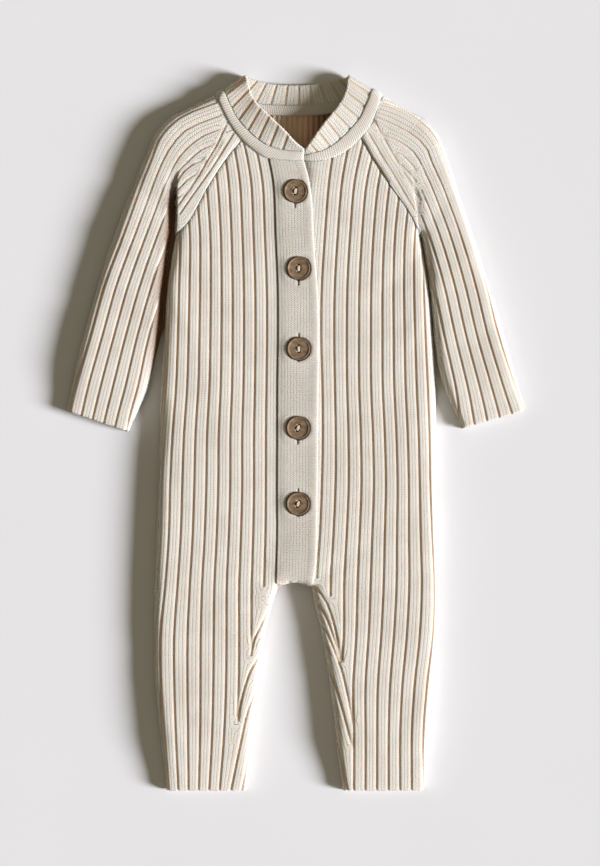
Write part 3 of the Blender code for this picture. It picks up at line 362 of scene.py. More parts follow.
# %% Rib height and stitch numbers
RIB_HEIGHT, FLANK = 1.3, 1.15         # height of a rib, and width of its round flank
RIB_COLUMNS, CROWN = 3.0, 0.09        # knit columns in a rib, and the dip between two of them
DOME = 0.05                           # how far the middle of a rib swells, as a share
VALLEY_FLOOR = 0.45                   # half the flat bottom of a valley
VALLEY_ROOM = 1.0                     # half a valley, where no knit column shows
NARROW_RIB, WIDEST_RIB = 5.0, 13.0    # a narrower rib stays low, and a wider one isn't a rib
LOOSE_COLUMN = 2.4                    # width of a column where there's no rib


def rib_field(points, valleys):
    """Relief of the ribs from 0 to 1, and knit columns counted from the valley."""
    near, next_near = np.sort([nearest(line, points)[0] for line in valleys], axis=0)[:2]
    width = np.minimum(near + next_near, WIDEST_RIB)
    columns = RIB_COLUMNS * (near - VALLEY_ROOM) / np.maximum(width - 2 * VALLEY_ROOM, 1.0)
    loose = (near - VALLEY_ROOM) / LOOSE_COLUMN
    columns = np.where(near + next_near > WIDEST_RIB, loose, columns)
    relief = rounded((near - VALLEY_FLOOR) / FLANK) * ease(width / NARROW_RIB)
    swell = DOME * (1.0 - np.abs(2.0 * near / np.maximum(width, 2.0) - 1.0) ** 2)
    dip = CROWN * 0.5 * (1.0 + np.cos(2 * np.pi * columns)) * (columns > 0.1)
    return relief * (1.0 - DOME + swell - dip), columns


print("a rib has", int(RIB_COLUMNS), "columns and stands", RIB_HEIGHT, "mm high")


# %% [markdown]
# ## Meshes that follow the ribs
# A grid that ignores the ribs would cut their valleys into saw teeth. So a plan is triangulated
# from lines that run along the ribs, close together at the valleys, inside the piece's outline.
# The upper face, the lower face and a rim between them then close the skin.

# %% Triangulate a plan
# Shares of a rib's width where a mesh line runs, closest together at its two valleys.
ACROSS = (0.0, 0.035, 0.06, 0.085, 0.115, 0.15, 0.20, 0.28, 0.345, 0.37, 0.395, 0.5,
          0.605, 0.63, 0.655, 0.72, 0.80, 0.85, 0.885, 0.915, 0.94, 0.965)
WITHIN_OUTLINE = 1        # the triangulation's mode that fills an outline and nothing more
MERGE_GAP = 0.05          # points nearer than this become one
SPOT_SHIFT = 0.31         # how far every other row of a grid is moved


def inside(outline, points):
    """Which of the points lie inside a closed outline."""
    found = np.zeros(len(points), dtype=bool)
    for (x0, y0), (x1, y1) in zip(outline, np.roll(outline, -1, axis=0)):
        if y0 != y1:
            passes = (y0 > points[:, 1]) != (y1 > points[:, 1])
            found ^= passes & (points[:, 0] < (x1 - x0) * (points[:, 1] - y0) / (y1 - y0) + x0)
    return found


def closed(outline):
    """An outline that ends in its first point."""
    return np.vstack([outline, outline[:1]])


def plan(outline, lines, spots=()):
    """Points, triangles and the rim in order, of a flat piece with the lines as edges."""
    points, edges = [Vector(point) for point in outline], []
    for line in lines:
        first = len(points)
        points += [Vector(point) for point in line]
        edges += [(place, place + 1) for place in range(first, len(points) - 1)]
    points += [Vector(point) for point in spots]
    found, _, triangles, *_ = delaunay_2d_cdt(
        points, edges, [list(range(len(outline)))], WITHIN_OUTLINE, MERGE_GAP)
    flat = np.array([tuple(point) for point in found])
    triangles = np.array(triangles)
    triangles = triangles[inside(outline, flat[triangles].mean(axis=1))]
    a, b, c = (flat[triangles[:, item]] for item in range(3))
    turn = (b[:, 0] - a[:, 0]) * (c[:, 1] - a[:, 1]) - (b[:, 1] - a[:, 1]) * (c[:, 0] - a[:, 0])
    triangles[turn < 0] = triangles[turn < 0][:, ::-1]
    used, triangles = np.unique(triangles, return_inverse=True)
    triangles = triangles.reshape(-1, 3)
    ways = np.concatenate([triangles[:, [0, 1]], triangles[:, [1, 2]], triangles[:, [2, 0]]])
    known = set(map(tuple, ways.tolist()))
    after = {here: there for here, there in known if (there, here) not in known}
    rim = [next(iter(after))]
    while after[rim[-1]] != rim[0]:
        rim.append(after[rim[-1]])
    return flat[used], triangles, np.array(rim)


def spots_inside(outline, step):
    """Points of an even grid that lie well inside an outline."""
    low, high = outline.min(axis=0), outline.max(axis=0)
    across, up = np.meshgrid(np.arange(low[0], high[0], step), np.arange(low[1], high[1], step))
    grid = np.stack([across.ravel() + SPOT_SHIFT * (up.ravel() % 2), up.ravel()], axis=1)
    return grid[inside(outline, grid) & (gap_to([closed(outline)], grid) > step / 3)]


SQUARE = np.array([(0.0, 0.0), (1.0, 0.0), (1.0, 1.0), (0.0, 1.0)])
print("a square makes", len(plan(SQUARE, [])[1]), "triangles")

# %% Make a mesh object with stitch numbers
# The hollow number also carries painted shade: from 0 to 1 the valley's painted shade, below 0 or
# above 1 painted deep shade.
STITCH_NUMBERS = ("columns", "along", "hollow")
LOW_STEP = 9.0            # mesh step of a lower face that has no ribs
SQUARE_MM = 1e-6          # one square millimetre, in square metres


def add_piece(name, points, faces, numbers, finish):
    """A mesh object from points in millimetres; numbers holds a list for each stitch number."""
    mesh = bpy.data.meshes.new(name)
    mesh.from_pydata((np.asarray(points) * MM).tolist(), [], [list(map(int, f)) for f in faces])
    for key, values in numbers.items():
        store = mesh.attributes.new(key, "FLOAT", "POINT")
        store.data.foreach_set("value", np.asarray(values, dtype=np.float32))
    mesh.polygons.foreach_set("use_smooth", [True] * len(mesh.polygons))
    mesh.materials.append(finish)
    mesh.update()
    made = bpy.data.objects.new(name, mesh)
    bpy.context.scene.collection.objects.link(made)
    print(name, len(mesh.polygons), "faces")
    return made


def skin(outline, lines, upper, lower, low_lines=(), spots=()):
    """A closed skin: upper(points) and lower(points) each give a height and stitch numbers."""
    top, top_faces, rim = plan(outline, lines, spots)
    edge = top[rim]
    low_spots = () if len(low_lines) else spots_inside(edge, LOW_STEP)
    base, base_faces, _ = plan(edge, low_lines, low_spots)
    link = [int(np.argmin(((base - point) ** 2).sum(axis=1))) for point in edge]
    (high, numbers), (low, under) = upper(top), lower(base)
    points = np.vstack([np.column_stack([top, high]), np.column_stack([base, low])])
    count = len(top)
    faces = top_faces.tolist() + (count + base_faces[:, ::-1]).tolist()
    for here in range(len(edge)):
        there = (here + 1) % len(edge)
        faces.append((rim[here], count + link[here], count + link[there], rim[there]))
    return points, faces, {key: np.concatenate([numbers[key], under[key]]) for key in numbers}


def add_skins(name, skins, finish):
    """One piece from several closed skins."""
    points = np.vstack([found[0] for found in skins])
    faces, first = [], 0
    for found in skins:
        faces += [tuple(first + place for place in face) for face in found[1]]
        first += len(found[0])
    numbers = {key: np.concatenate([found[2][key] for found in skins]) for key in skins[0][2]}
    return add_piece(name, points, faces, numbers, finish)


def clear_of(lines, region):
    """The parts of the lines that lie outside a region."""
    kept = []
    for line in lines:
        out = ~inside(region, line)
        starts = np.flatnonzero(out & ~np.concatenate([[False], out[:-1]]))
        ends = np.flatnonzero(out & ~np.concatenate([out[1:], [False]])) + 1
        kept += [line[start:end] for start, end in zip(starts, ends) if end - start > 1]
    return kept


def area_of(outline):
    """Area of an outline in millimetres, in square metres."""
    x, y = np.asarray(outline).T
    return 0.5 * abs(float(np.sum(x * np.roll(y, -1) - np.roll(x, -1) * y))) * SQUARE_MM


print("the square's area is", area_of(SQUARE), "square metres")


# %% [markdown]
# ## Wool
# The yarn is undyed cream wool, matt and slightly hairy. Light sinks into it, and the purl
# valleys are painted warm brown as painted shade while the knit columns stay pale. The finish
# draws each stitch as a V: two slanting legs to a column, from the column and course numbers
# that the mesh carries.

# %% Short words for nodes
COURSE = 1.75                         # height of one course of stitches
WARM_SPREAD = (1.0, 0.72, 0.5)        # red light sinks furthest into the yarn


class Finish:
    """One material and short words for the nodes in it."""

    def __init__(self, name, roughness, sheen=0.0):
        self.material = bpy.data.materials.new(name)
        self.material.use_nodes = True
        self.nodes, self.links = self.material.node_tree.nodes, self.material.node_tree.links
        self.shader = self.nodes["Principled BSDF"]
        self.shader.inputs["Roughness"].default_value = roughness
        self.shader.inputs["Sheen Weight"].default_value = sheen
        self.shader.inputs["Sheen Roughness"].default_value = 0.6
        self.shader.inputs["Specular IOR Level"].default_value = 0.25

    def glow(self, weight, depth):
        """Light that sinks in, spreads warmly inside the yarn and comes out beside."""
        self.shader.inputs["Subsurface Weight"].default_value = weight
        self.shader.inputs["Subsurface Radius"].default_value = WARM_SPREAD
        self.shader.inputs["Subsurface Scale"].default_value = depth * MM

    def put(self, socket, value):
        if isinstance(value, (int, float, tuple)):
            socket.default_value = value
        else:
            self.links.new(value, socket)

    def number(self, key):
        node = self.nodes.new("ShaderNodeAttribute")
        node.attribute_name = key
        return node.outputs["Fac"]

    def math(self, work, *parts):
        node = self.nodes.new("ShaderNodeMath")
        node.operation = work
        for socket, part in zip(node.inputs, parts):
            self.put(socket, part)
        return node.outputs[0]

    def span(self, value, low, high, to_low=0.0, to_high=1.0):
        node = self.nodes.new("ShaderNodeMapRange")
        node.interpolation_type = "SMOOTHSTEP"
        for socket, part in zip(node.inputs, (value, low, high, to_low, to_high)):
            self.put(socket, part)
        return node.outputs[0]

    def mix(self, share, first, second):
        node = self.nodes.new("ShaderNodeMix")
        node.data_type = "RGBA"
        self.put(node.inputs[0], share)
        self.put(node.inputs[6], first)
        self.put(node.inputs[7], second)
        return node.outputs[2]

    def noise(self, size, detail=2.0, stretch=(1.0, 1.0, 1.0)):
        place, turn = self.nodes.new("ShaderNodeTexCoord"), self.nodes.new("ShaderNodeMapping")
        node = self.nodes.new("ShaderNodeTexNoise")
        turn.inputs["Scale"].default_value = stretch
        self.links.new(place.outputs["Object"], turn.inputs[0])
        self.links.new(turn.outputs[0], node.inputs["Vector"])
        node.inputs["Scale"].default_value = 1.0 / (size * MM)
        node.inputs["Detail"].default_value = detail
        return node.outputs["Fac"]

    def bump(self, height, haze=0.0):
        """Fine relief; haze evens the light over a slope, as the loose fibres over a yarn do."""
        node = self.nodes.new("ShaderNodeBump")
        node.inputs["Distance"].default_value = MM
        self.links.new(height, node.inputs["Height"])
        steep, even = [self.nodes.new("ShaderNodeVectorMath") for _ in range(2)]
        steep.operation, even.operation = "MULTIPLY", "NORMALIZE"
        steep.inputs[1].default_value = (1.0, 1.0, 1.0 + haze)
        self.links.new(node.outputs[0], steep.inputs[0])
        self.links.new(steep.outputs[0], even.inputs[0])
        self.links.new(even.outputs[0], self.shader.inputs["Normal"])

    def paint(self, colour):
        """Give the finish its colour, and hand over the material."""
        self.links.new(colour, self.shader.inputs["Base Color"])
        return self.material


print("a course is", COURSE, "mm high")


# %% The wool finishes
# Colours of the wool: the pale yarn; painted shade for the gaps between stitches, which is also the
# darker yarn tint of the clouds and flecks; painted warm shade for the purl valleys; painted deep
# shade for the underarm and the inside of the neck.
CREAM = (0.88, 0.835, 0.755, 1.0)
SHADE_AND_TINT = (0.42, 0.35, 0.27, 1.0)
PAINTED_VALLEY_SHADE = (1.0, 0.77, 0.61, 1.0)
PAINTED_DEEP_SHADE = (0.17, 0.075, 0.03, 1.0)
TURN = 6.2832             # a whole turn, in radians
LEAN = 0.5                # how far a leg of a stitch slants, in courses
BORDER, HEART = 0.62, 0.22            # a column is dark outside the first, and inside the second
SUNK_FROM, SUNK_TO = 0.2, 0.75        # hollow over which knit columns give way to purl
RUNG_SLANT, LADDER = 1.6, 0.3         # slant of the purl rungs, and how far they lighten a valley
HAZE = 3.4                # how far the loose fibres even out the light
CLOUDS, FLECKS = 0.18, 0.22           # share of the darker tint in soft clouds, and in flecks


def wool(name, light, shade, valley_shade, relief=1.3, bars=0.0):
    """Cream wool with V stitches, purl valleys, a fine halo of fibres and painted shade."""
    f = Finish(name, 0.85, 0.2)
    f.glow(0.8, 3.0)
    columns, along, hollow = [f.number(key) for key in STITCH_NUMBERS]
    # Place in the knitting: side is 0 in the heart of a column and 1 at its border, course
    # counts the rows, and twist is 1 where one loop slips under the next.
    wander = f.math("MULTIPLY_ADD", f.noise(2.6, 2.0), 0.3, -0.15)
    side = f.math("SUBTRACT", f.math("MULTIPLY", f.math("FRACT", columns), 2.0), 1.0)
    side = f.math("ABSOLUTE", side)
    course = f.math("ADD", f.math("DIVIDE", along, COURSE), wander)
    phase = f.math("MULTIPLY", f.math("ADD", course, f.math("MULTIPLY", side, LEAN)), TURN)
    twist = f.math("MULTIPLY_ADD", f.math("COSINE", phase), 0.5, 0.5)
    # The gaps between the legs of yarn, and the legs that stand up between them.
    gap = f.math("MAXIMUM", f.span(side, BORDER, 1.0), f.span(side, 0.0, HEART, 0.3, 0.0))
    gap = f.math("MULTIPLY", gap, f.math("MULTIPLY_ADD", twist, 0.75, 0.25))
    leg = f.math("SUBTRACT", 1.0, f.math("MAXIMUM", gap, f.math("MULTIPLY", twist, 0.45)))
    if bars:
        gap = f.math("MAXIMUM", gap, f.math("MULTIPLY", twist, bars))
    # Down in a valley the yarn lies across, as slanting purl rungs.
    sunk = f.span(hollow, SUNK_FROM, SUNK_TO)
    dry = f.math("SUBTRACT", 1.0, sunk)
    rope = f.math("MULTIPLY", f.math("ADD", course, f.math("MULTIPLY", columns, RUNG_SLANT)), TURN)
    rung = f.math("MULTIPLY_ADD", f.math("SINE", rope), 0.5, 0.5)
    height = f.math("MULTIPLY", f.math("MULTIPLY", leg, dry), relief)
    height = f.math("ADD", height, f.math("MULTIPLY", f.math("MULTIPLY", rung, sunk), 0.45))
    height = f.math("ADD", height, f.math("MULTIPLY", f.noise(0.6, 3.0), 0.16))
    f.bump(height, HAZE)
    # Painted shade: the gaps between the legs are darkened, except down in a valley.
    colour = f.mix(f.math("MULTIPLY", gap, dry), light, shade)
    colour = f.mix(f.span(f.noise(24.0, 3.0), 0.35, 0.7, 0.0, CLOUDS), colour, shade)
    colour = f.mix(f.span(f.noise(0.9, 2.0), 0.45, 0.75, 0.0, FLECKS), colour, shade)
    dim = f.math("SUBTRACT", 1.0, f.math("MULTIPLY", rung, LADDER))
    # Painted warm shade: a valley takes the valley colour, a little lighter on each purl rung.
    colour = f.mix(f.math("MULTIPLY", sunk, dim), colour, valley_shade)
    # A hollow below 0, in an underarm, or above 1, inside the neck, is painted deep shade.
    below = f.span(f.math("MULTIPLY", hollow, -1.0), 0.02, 0.9)
    above = f.span(hollow, 1.0, 2.1)
    return f.paint(f.mix(f.math("MAXIMUM", below, above), colour, PAINTED_DEEP_SHADE))


RIB_WOOL = wool("rib_wool", CREAM, SHADE_AND_TINT, PAINTED_VALLEY_SHADE)
# The back's valley colour is a redder painted shade, for the inside of the neck.
BACK_WOOL = wool("back_wool", CREAM, SHADE_AND_TINT, (1.0, 0.60, 0.40, 1.0))
# The collar's valley colour is a paler painted shade.
COLLAR_WOOL = wool("collar_wool", CREAM, SHADE_AND_TINT, (0.78, 0.655, 0.51, 1.0))
# The bands are the same cream yarn painted darker, as painted shade on their flat face; their
# valley colour is painted shade for the slits and the seam line.
BAND_WOOL = wool("plain_wool", light=(0.76, 0.715, 0.64, 1.0), shade=(0.44, 0.38, 0.31, 1.0),
                 valley_shade=(0.52, 0.44, 0.33, 1.0))
print("finishes:", [m.name for m in (RIB_WOOL, BACK_WOOL, COLLAR_WOOL, BAND_WOOL)])

# %% [markdown]
# ## Outlines
# Each piece is cut to the same outline as its solid, at a finer step, and ends under the neck
# roll, where a knitter would pick up its stitches. At an open hem each rib ends a little lower
# than its valley, so the edge is scalloped.

# %% Outline parts
NECK_EDGE = ROLL_RADIUS - 0.6      # the panels run a little way under the roll
RAGLAN_GAP = 0.15                  # from a raglan seam to the edge of either piece
EDGE_STEP, SCALLOP = 0.8, 0.9      # mesh step along an open edge, and how far a valley is cut in
DOWN = (0.0, -1.0)
NEAR_END = 0.5                     # points nearer than this to a cut end are left out


def front_neck(right, gap, keep):
    """The panels' edge along one half of the front roll, from the middle to the fold."""
    part = ROLL[FOLD_RIGHT:, :2][::-1] if right else ROLL[:FOLD_LEFT + 1, :2]
    return np.array([point for point in beside(part, -gap if right else gap) if keep(point)])


def raglan(right, gap):
    """The raglan seam, moved towards the body by the gap."""
    return beside(curve_through(RAGLAN[right], RIM_STEP), -gap if right else gap)


def between(line, low, high):
    """The part of a line that runs downwards between two heights, with a point at each end."""
    first, last = [(np.interp(level, line[::-1, 1], line[::-1, 0]), level) for level in (high, low)]
    kept = (line[:, 1] > low + NEAR_END) & (line[:, 1] < high - NEAR_END)
    return np.vstack([first, line[kept], last])


def open_edge(start, end, valleys, out):
    """An open hem or cuff between two corners, scalloped by the ribs, without the corners."""
    start, end = np.asarray(start, dtype=float), np.asarray(end, dtype=float)
    count = int(np.linalg.norm(end - start) / EDGE_STEP)
    points = start + (end - start) * (np.arange(1, count) / count)[:, None]
    relief, _ = rib_field(points, valleys)
    return points + np.outer(SCALLOP * (relief - 1.0), out)


print("the panels end", NECK_EDGE, "mm beside the middle of the roll")

# %% Valley lines
ARM_RIBS, CAP_STEPS = 5, 9         # ribs across an arm, and points along a line over its cap


def body_valleys(right):
    """The valleys of one front: those that run through, those that end, and the shaping."""
    lines = []
    for number in range(1, VALLEY_COUNTS[right] + 1):
        line = body_line(right, number, FIELD_STEP)
        if number in VALLEY_ENDS[right]:
            line = line[line[:, 1] > VALLEY_ENDS[right][number]]
        else:
            line = np.vstack([line, line[-1] + (line[-1] - line[-2])])
        lines.append(line)
    return lines + curves_through(SHAPING[right], FIELD_STEP)


def even_steps(line):
    """A line over the cap as a few points that are evenly spaced along it."""
    line = np.asarray(line, dtype=float)
    walked = np.concatenate([[0.0], np.cumsum(np.hypot(*np.diff(line, axis=0).T))])
    steps = np.linspace(0.0, walked[-1], CAP_STEPS)
    return np.stack([np.interp(steps, walked, line[:, item]) for item in (0, 1)], axis=1)


def sleeve_line(right, number, spacing):
    """A line along a sleeve, straight down the arm and bent over the cap."""
    cap = CAP[right]
    low = int(min(max(np.floor(number), 0), len(cap) - 2))
    bend = even_steps(cap[low]) * (1 - number + low) + even_steps(cap[low + 1]) * (number - low)
    arm = [(outer + number / ARM_RIBS * (inner - outer), height)
           for height, outer, inner in SLEEVE_ROWS[right]]
    return curve_through(list(bend[:-1]) + arm, spacing)


def strands(maker, right, numbers, spacing):
    """Mesh lines along the ribs at the shares in ACROSS."""
    return [maker(right, number + share, spacing) for number in numbers for share in ACROSS]


VALLEYS = [[body_line(0, 0, FIELD_STEP)] + body_valleys(0), body_valleys(1)]
print("valleys:", len(VALLEYS[0]), len(VALLEYS[1]))

# %% [markdown]
# ## The fronts
# Each front is one ribbed wall from the neck to the hem. Its ribs run straight down, but at the
# inner leg new ribs slant in from the inseam, because the knitter shapes the leg there stitch by
# stitch. Its side rolls over to meet the back, and the raglan seam pulls its edge down.

# %% Upper and lower faces of a front
SIDE_ROUND, END_ROUND = 3.6, 1.3      # radius where a wall turns over at a side, and at a hem
END_DROP = 1.0                        # how far an open end turns down
# A seam also shows as a thin line of painted shade.
SEAM_REACH, SEAM_LINE = 1.5, 0.6      # how wide a seam pulls the wall down, and its dark line
SEAM_SHADE = 0.5                      # hollow in that line
PLAIN_COLUMN = 2.3                    # width of a column in plain knit
LINING_EDGE = MIDDLE - 0.2            # height of the lining's edge
LINING_REST, WALL_REST = 0.1, 1.4     # a fold leaves lining and wall this far over the wall below
FOLD_WALL, FOLD_START = 1.4, 34.0     # width of a fold's steep wall, and how slowly it begins


def turned_to(edge, sides, level, points, radius=SIDE_ROUND):
    """A face that turns over to the height edge at its free sides."""
    return edge + (level - edge) * rounded(gap_to(sides, points) / radius)


def settle_edges(points, level, sides, seams, ends, seam_drop):
    """Roll a face over at free sides, sink it at seams and round it at open ends."""
    level = turned_to(MIDDLE, sides, level, points)
    level = level - seam_drop * np.exp(-(gap_to(seams, points) / SEAM_REACH) ** 2)
    return level - END_DROP * (1.0 - rounded(gap_to(ends, points) / END_ROUND))


def plain_numbers(points):
    """Stitch numbers of a plain face."""
    return {"columns": points[:, 0] / PLAIN_COLUMN, "along": points[:, 1],
            "hollow": np.zeros(len(points))}


def fold_share(points, fold, reach):
    """Share of an underarm fold's depth: a steep wall on the body's side, a slope to the sleeve."""
    gap, place = nearest(fold, points)
    outside = np.abs(points[:, 0]) - np.abs(np.interp(points[:, 1], fold[::-1, 1], fold[::-1, 0]))
    gap = np.where(outside > 0.0, gap, -gap)
    wall = ease((gap + FOLD_WALL) / FOLD_WALL)
    return wall * (1.0 - ease(gap / reach)) * ease(place / FOLD_START)


def rib_face(valleys, sides, seams, ends, seam_drop, fold=None, along_of=None, faint=None):
    """The ribbed outer face of an upper wall; the first of the seams shows as a line of painted
    shade.
    """
    def face(points):
        relief, columns = rib_field(points, valleys)
        if faint:
            relief = 1.0 - (1.0 - relief) * faint(points)
        level = inner_level(points) + FRONT_WALL + RIB_HEIGHT * relief + creases(points)
        if fold:
            line, depth, reach, painted_darkness = fold
            level = level - depth * fold_share(points, line, reach)
        level = settle_edges(points, level, sides, seams, ends, seam_drop)
        # Painted shade in the valleys and along the first seam, as the hollow number.
        seam_line = SEAM_SHADE * np.exp(-(gap_to(seams[:1], points) / SEAM_LINE) ** 2)
        hollow = np.maximum(1.0 - relief, seam_line)
        # Painted shade: near the underarm fold the wool is darkened, as a hollow below 0.
        if fold:
            painted_shade = painted_darkness * fold_share(points, line, PAINTED_SHADE_REACH)
            hollow = hollow * (1.0 - painted_shade) - painted_shade
            level = np.maximum(level, BACK_WALL + WALL_REST)
        along = along_of(points) if along_of else points[:, 1]
        return level, {"columns": columns, "along": along, "hollow": hollow}
    return face


def lining_face(sides, fold=None):
    """The plain inner face of the same wall, which follows its fold."""
    def face(points):
        level = inner_level(points) + creases(points)
        if fold:
            line, depth, reach, _ = fold
            level = level - depth * fold_share(points, line, reach)
            level = np.maximum(level, BACK_WALL + LINING_REST)
        return turned_to(LINING_EDGE, sides, level, points), plain_numbers(points)
    return face


print("an upper wall is", FRONT_WALL + RIB_HEIGHT, "mm thick at a rib")

# %% Make the fronts
LEG_TOP, LEG_STEP = -96.0, 0.85       # where the inner leg's fine mesh starts, and its step
LEG_RIBS, LEG_ROOM = (3.5, 4.5), 3.0  # the lines where it ends, and its gap to the inseam
RIB_STEP, RIB_NUMBERS = 2.2, range(11)
BAND_LOW, BAND_HIGH = -115.5, (208.8, 206.8)    # ends of the placket's left and right edge
UNDER_BAND = 4.0                      # how far the right front runs on under the placket
FRONT_SEAM_DROP, SLEEVE_SEAM_DROP = 0.7, 0.3    # how far each side of the raglan sinks


def inner_leg(right, inseam):
    """The region of the shaping, from the inseam to the rib beside it."""
    outer = between(body_line(right, LEG_RIBS[right], 3.0), HEM - 2.0, LEG_TOP)
    inner = inseam + np.array([-LEG_ROOM if right else LEG_ROOM, 0.0])
    top = (inner[0, 0], LEG_TOP)
    return np.vstack([top, inner, (inner[-1, 0], HEM - 2.0), outer[::-1]])


def make_front(right):
    """One front with its outline, seams and ribs."""
    top = RAGLAN[right][0][1]
    inseam, side = curve_through(INSEAM[right], RIM_STEP), side_line(right, RIM_STEP)
    neck = front_neck(right, NECK_EDGE,
                      lambda p: p[1] < top - 1.0 and (p[0] > 6.0 if right else p[0] < -23.5))
    seam = raglan(right, RAGLAN_GAP)[:-1]
    if right:
        down = curve_through(PLACKET_EDGE, RIM_STEP) - np.array([UNDER_BAND, 0.0])
        down = between(down, BAND_LOW, BAND_HIGH[1])
        hem = open_edge(inseam[-1], side[-1], VALLEYS[1], DOWN)
        outline = np.vstack([down, inseam, hem, side[::-1], seam[::-1], neck[::-1]])
    else:
        down = between(body_line(0, 0, RIM_STEP), BAND_LOW, BAND_HIGH[0])
        hem = open_edge(side[-1], inseam[-1], VALLEYS[0], DOWN)
        outline = np.vstack([neck, seam, side, hem, inseam[::-1], down[::-1]])
    leg = inner_leg(right, inseam)
    lines = clear_of(strands(body_line, right, RIB_NUMBERS, RIB_STEP), leg)
    spots = spots_inside(leg, LEG_STEP)
    spots = spots[inside(outline, spots) & (gap_to([closed(outline)], spots) > 0.4)]
    free = [side[::3], inseam[::3]]
    face = rib_face(VALLEYS[right], free, [seam[::2], neck[::2]], [HEMS[right]], FRONT_SEAM_DROP)
    walls = [skin(outline, lines, face, lining_face(free), spots=spots)]
    name = "front_right_knit" if right else "front_left_knit"
    return add_skins(name, walls, RIB_WOOL), outline


FRONT_LEFT, LEFT_OUTLINE = make_front(0)
FRONT_RIGHT, RIGHT_OUTLINE = make_front(1)

# %% Say what the fronts are
for made, outline, node, flat in ((FRONT_LEFT, LEFT_OUTLINE, "front_left", (0.112, 0.500)),
                                  (FRONT_RIGHT, RIGHT_OUTLINE, "front_right", (0.116, 0.500))):
    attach(made, "root")
    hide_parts(node)
    print(node, "cut area", round(area_of(outline), 4), "square metres")

# %% [markdown]
# ## The back
# The back lies on the surface, so its ribs are pressed flat underneath and only their valleys
# stay open. Its upper face is the inside of the garment: there the valleys of the outer side
# stand up as soft purl ribs, which show through the neck opening.

# %% Lines of the back
THROAT_LEVEL = 190.0              # over this height the inside of the back shows
RIB_PITCH = 4.1                   # width of the narrow ribs in its middle and on its inside
BACK_MIDDLE = np.arange(-15.5, 27.0, RIB_PITCH)
BACK_STEP = 4.0


def middle_line(x, shift, foot, spacing):
    """A line down the middle panel, drawn in at the shoulder blades."""
    return curve_through([(x + shift, 250.0), (x * 0.8 + shift, 150.0), (x + shift, foot)], spacing)


BACK_VALLEYS = [body_line(right, number, FIELD_STEP) for right in (0, 1)
                for number in range(1, VALLEY_COUNTS[right] + 1)]
BACK_VALLEYS += [middle_line(x, 0.0, -110.0, FIELD_STEP) for x in BACK_MIDDLE if x < 20.0]
INSIDE_VALLEYS = [np.array([(x, 252.0), (x, THROAT_LEVEL)])
                  for x in np.arange(-52.0, 62.0, RIB_PITCH)]
THROAT = np.array([(-30.0, 205.0), (40.0, 205.0), (44.0, 246.5), (-36.0, 246.5)])
BACK_LINES = [body_line(right, number + share, BACK_STEP) for right in (0, 1)
              for number in range(1, 11) for share in ACROSS[::2]]
BACK_LINES += [middle_line(x, shift, -112.0, BACK_STEP) for x in BACK_MIDDLE[::2]
               for shift in (-3.2, -1.6, -0.8, 0.0, 0.8, 1.6, 3.2)]
BACK_LINES = clear_of(BACK_LINES, THROAT)


def back_outline():
    """The back with both legs, from the left raglan round to the neck."""
    neck = beside(ROLL[FOLD_LEFT:FOLD_RIGHT + 1, :2], -NECK_EDGE)
    neck = neck[neck[:, 1] < 249.0]
    fronts = [front_neck(right, 2.3, lambda p: RAGLAN[right][0][1] + 1.5 < p[1] < 247.0)
              for right in (0, 1)]
    legs = curves_through(INSEAM, RIM_STEP)
    sides = [side_line(right, RIM_STEP) for right in (0, 1)]
    seams = [raglan(right, RAGLAN_GAP)[:-1] for right in (0, 1)]
    hems = [open_edge(sides[0][-1], legs[0][-1], BACK_VALLEYS, DOWN),
            open_edge(legs[1][-1], sides[1][-1], BACK_VALLEYS, DOWN)]
    return np.vstack([seams[0], sides[0], hems[0], legs[0][::-1], CROTCH, legs[1], hems[1],
                      sides[1][::-1], seams[1][::-1], fronts[1], neck[::-1], fronts[0][::-1]])


BACK_OUTLINE = back_outline()
print("back:", len(BACK_VALLEYS), "valleys, cut area", round(area_of(BACK_OUTLINE), 4))

# %% Back
INSIDE_EDGE, FLOOR_EDGE = MIDDLE - 0.4, MIDDLE - 0.9    # edges of a lower wall's two faces
FLOOR_ROUND = 3.5                 # radius of the edge of the face that lies on the floor
PURL_DEPTH = 1.1                  # depth between the purl ribs of the inside
# The inside of the neck is painted in shade: where that starts, its width, and the hollow it gives.
SHADE_START, SHADE_WIDTH, SHADE_LEAST, SHADE_MORE = -14.0, 42.0, 0.42, 1.35


def back_upper(points):
    """The inside of the back, with narrow purl ribs at the neck."""
    relief, columns = rib_field(points, BACK_VALLEYS)
    throat = points[:, 1] > THROAT_LEVEL
    near = gap_to(INSIDE_VALLEYS, points[throat])
    relief[throat] = 1.0 - ease((near - 0.3) / 1.3)
    columns[throat] = (near + 1.0) / 2.0
    # Painted shade: the purl ribs take the valley colour, and the inside of the neck is painted
    # darker towards the right, into deep shade.
    hollow = 0.9 * np.clip(relief * 1.3 - 0.3, 0, 1)
    shade = ease((points[throat, 0] - SHADE_START) / SHADE_WIDTH)
    hollow[throat] = 0.25 * hollow[throat] + SHADE_LEAST + SHADE_MORE * shade
    level = turned_to(INSIDE_EDGE, BODY_SIDES, BACK_WALL - PURL_DEPTH * relief, points)
    return level, {"columns": columns, "along": points[:, 1], "hollow": hollow}


def pressed_face(valleys, sides, depth, along_of=None):
    """The outer face that lies on the floor: flat ribs with open valleys between."""
    def face(points):
        relief, columns = rib_field(points, valleys)
        level = turned_to(FLOOR_EDGE, sides, depth * (1.0 - relief), points, FLOOR_ROUND)
        along = along_of(points) if along_of else points[:, 1]
        # Its open valleys take the painted valley shade.
        return level, {"columns": columns, "along": along, "hollow": 1.0 - relief}
    return face


BACK = add_skins("back_knit", [skin(BACK_OUTLINE, BACK_LINES, back_upper,
                                    pressed_face(BACK_VALLEYS, BODY_SIDES, 1.3), BACK_LINES,
                                    spots=spots_inside(THROAT, 0.9))], BACK_WOOL)
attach(BACK, "root")
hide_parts("back")

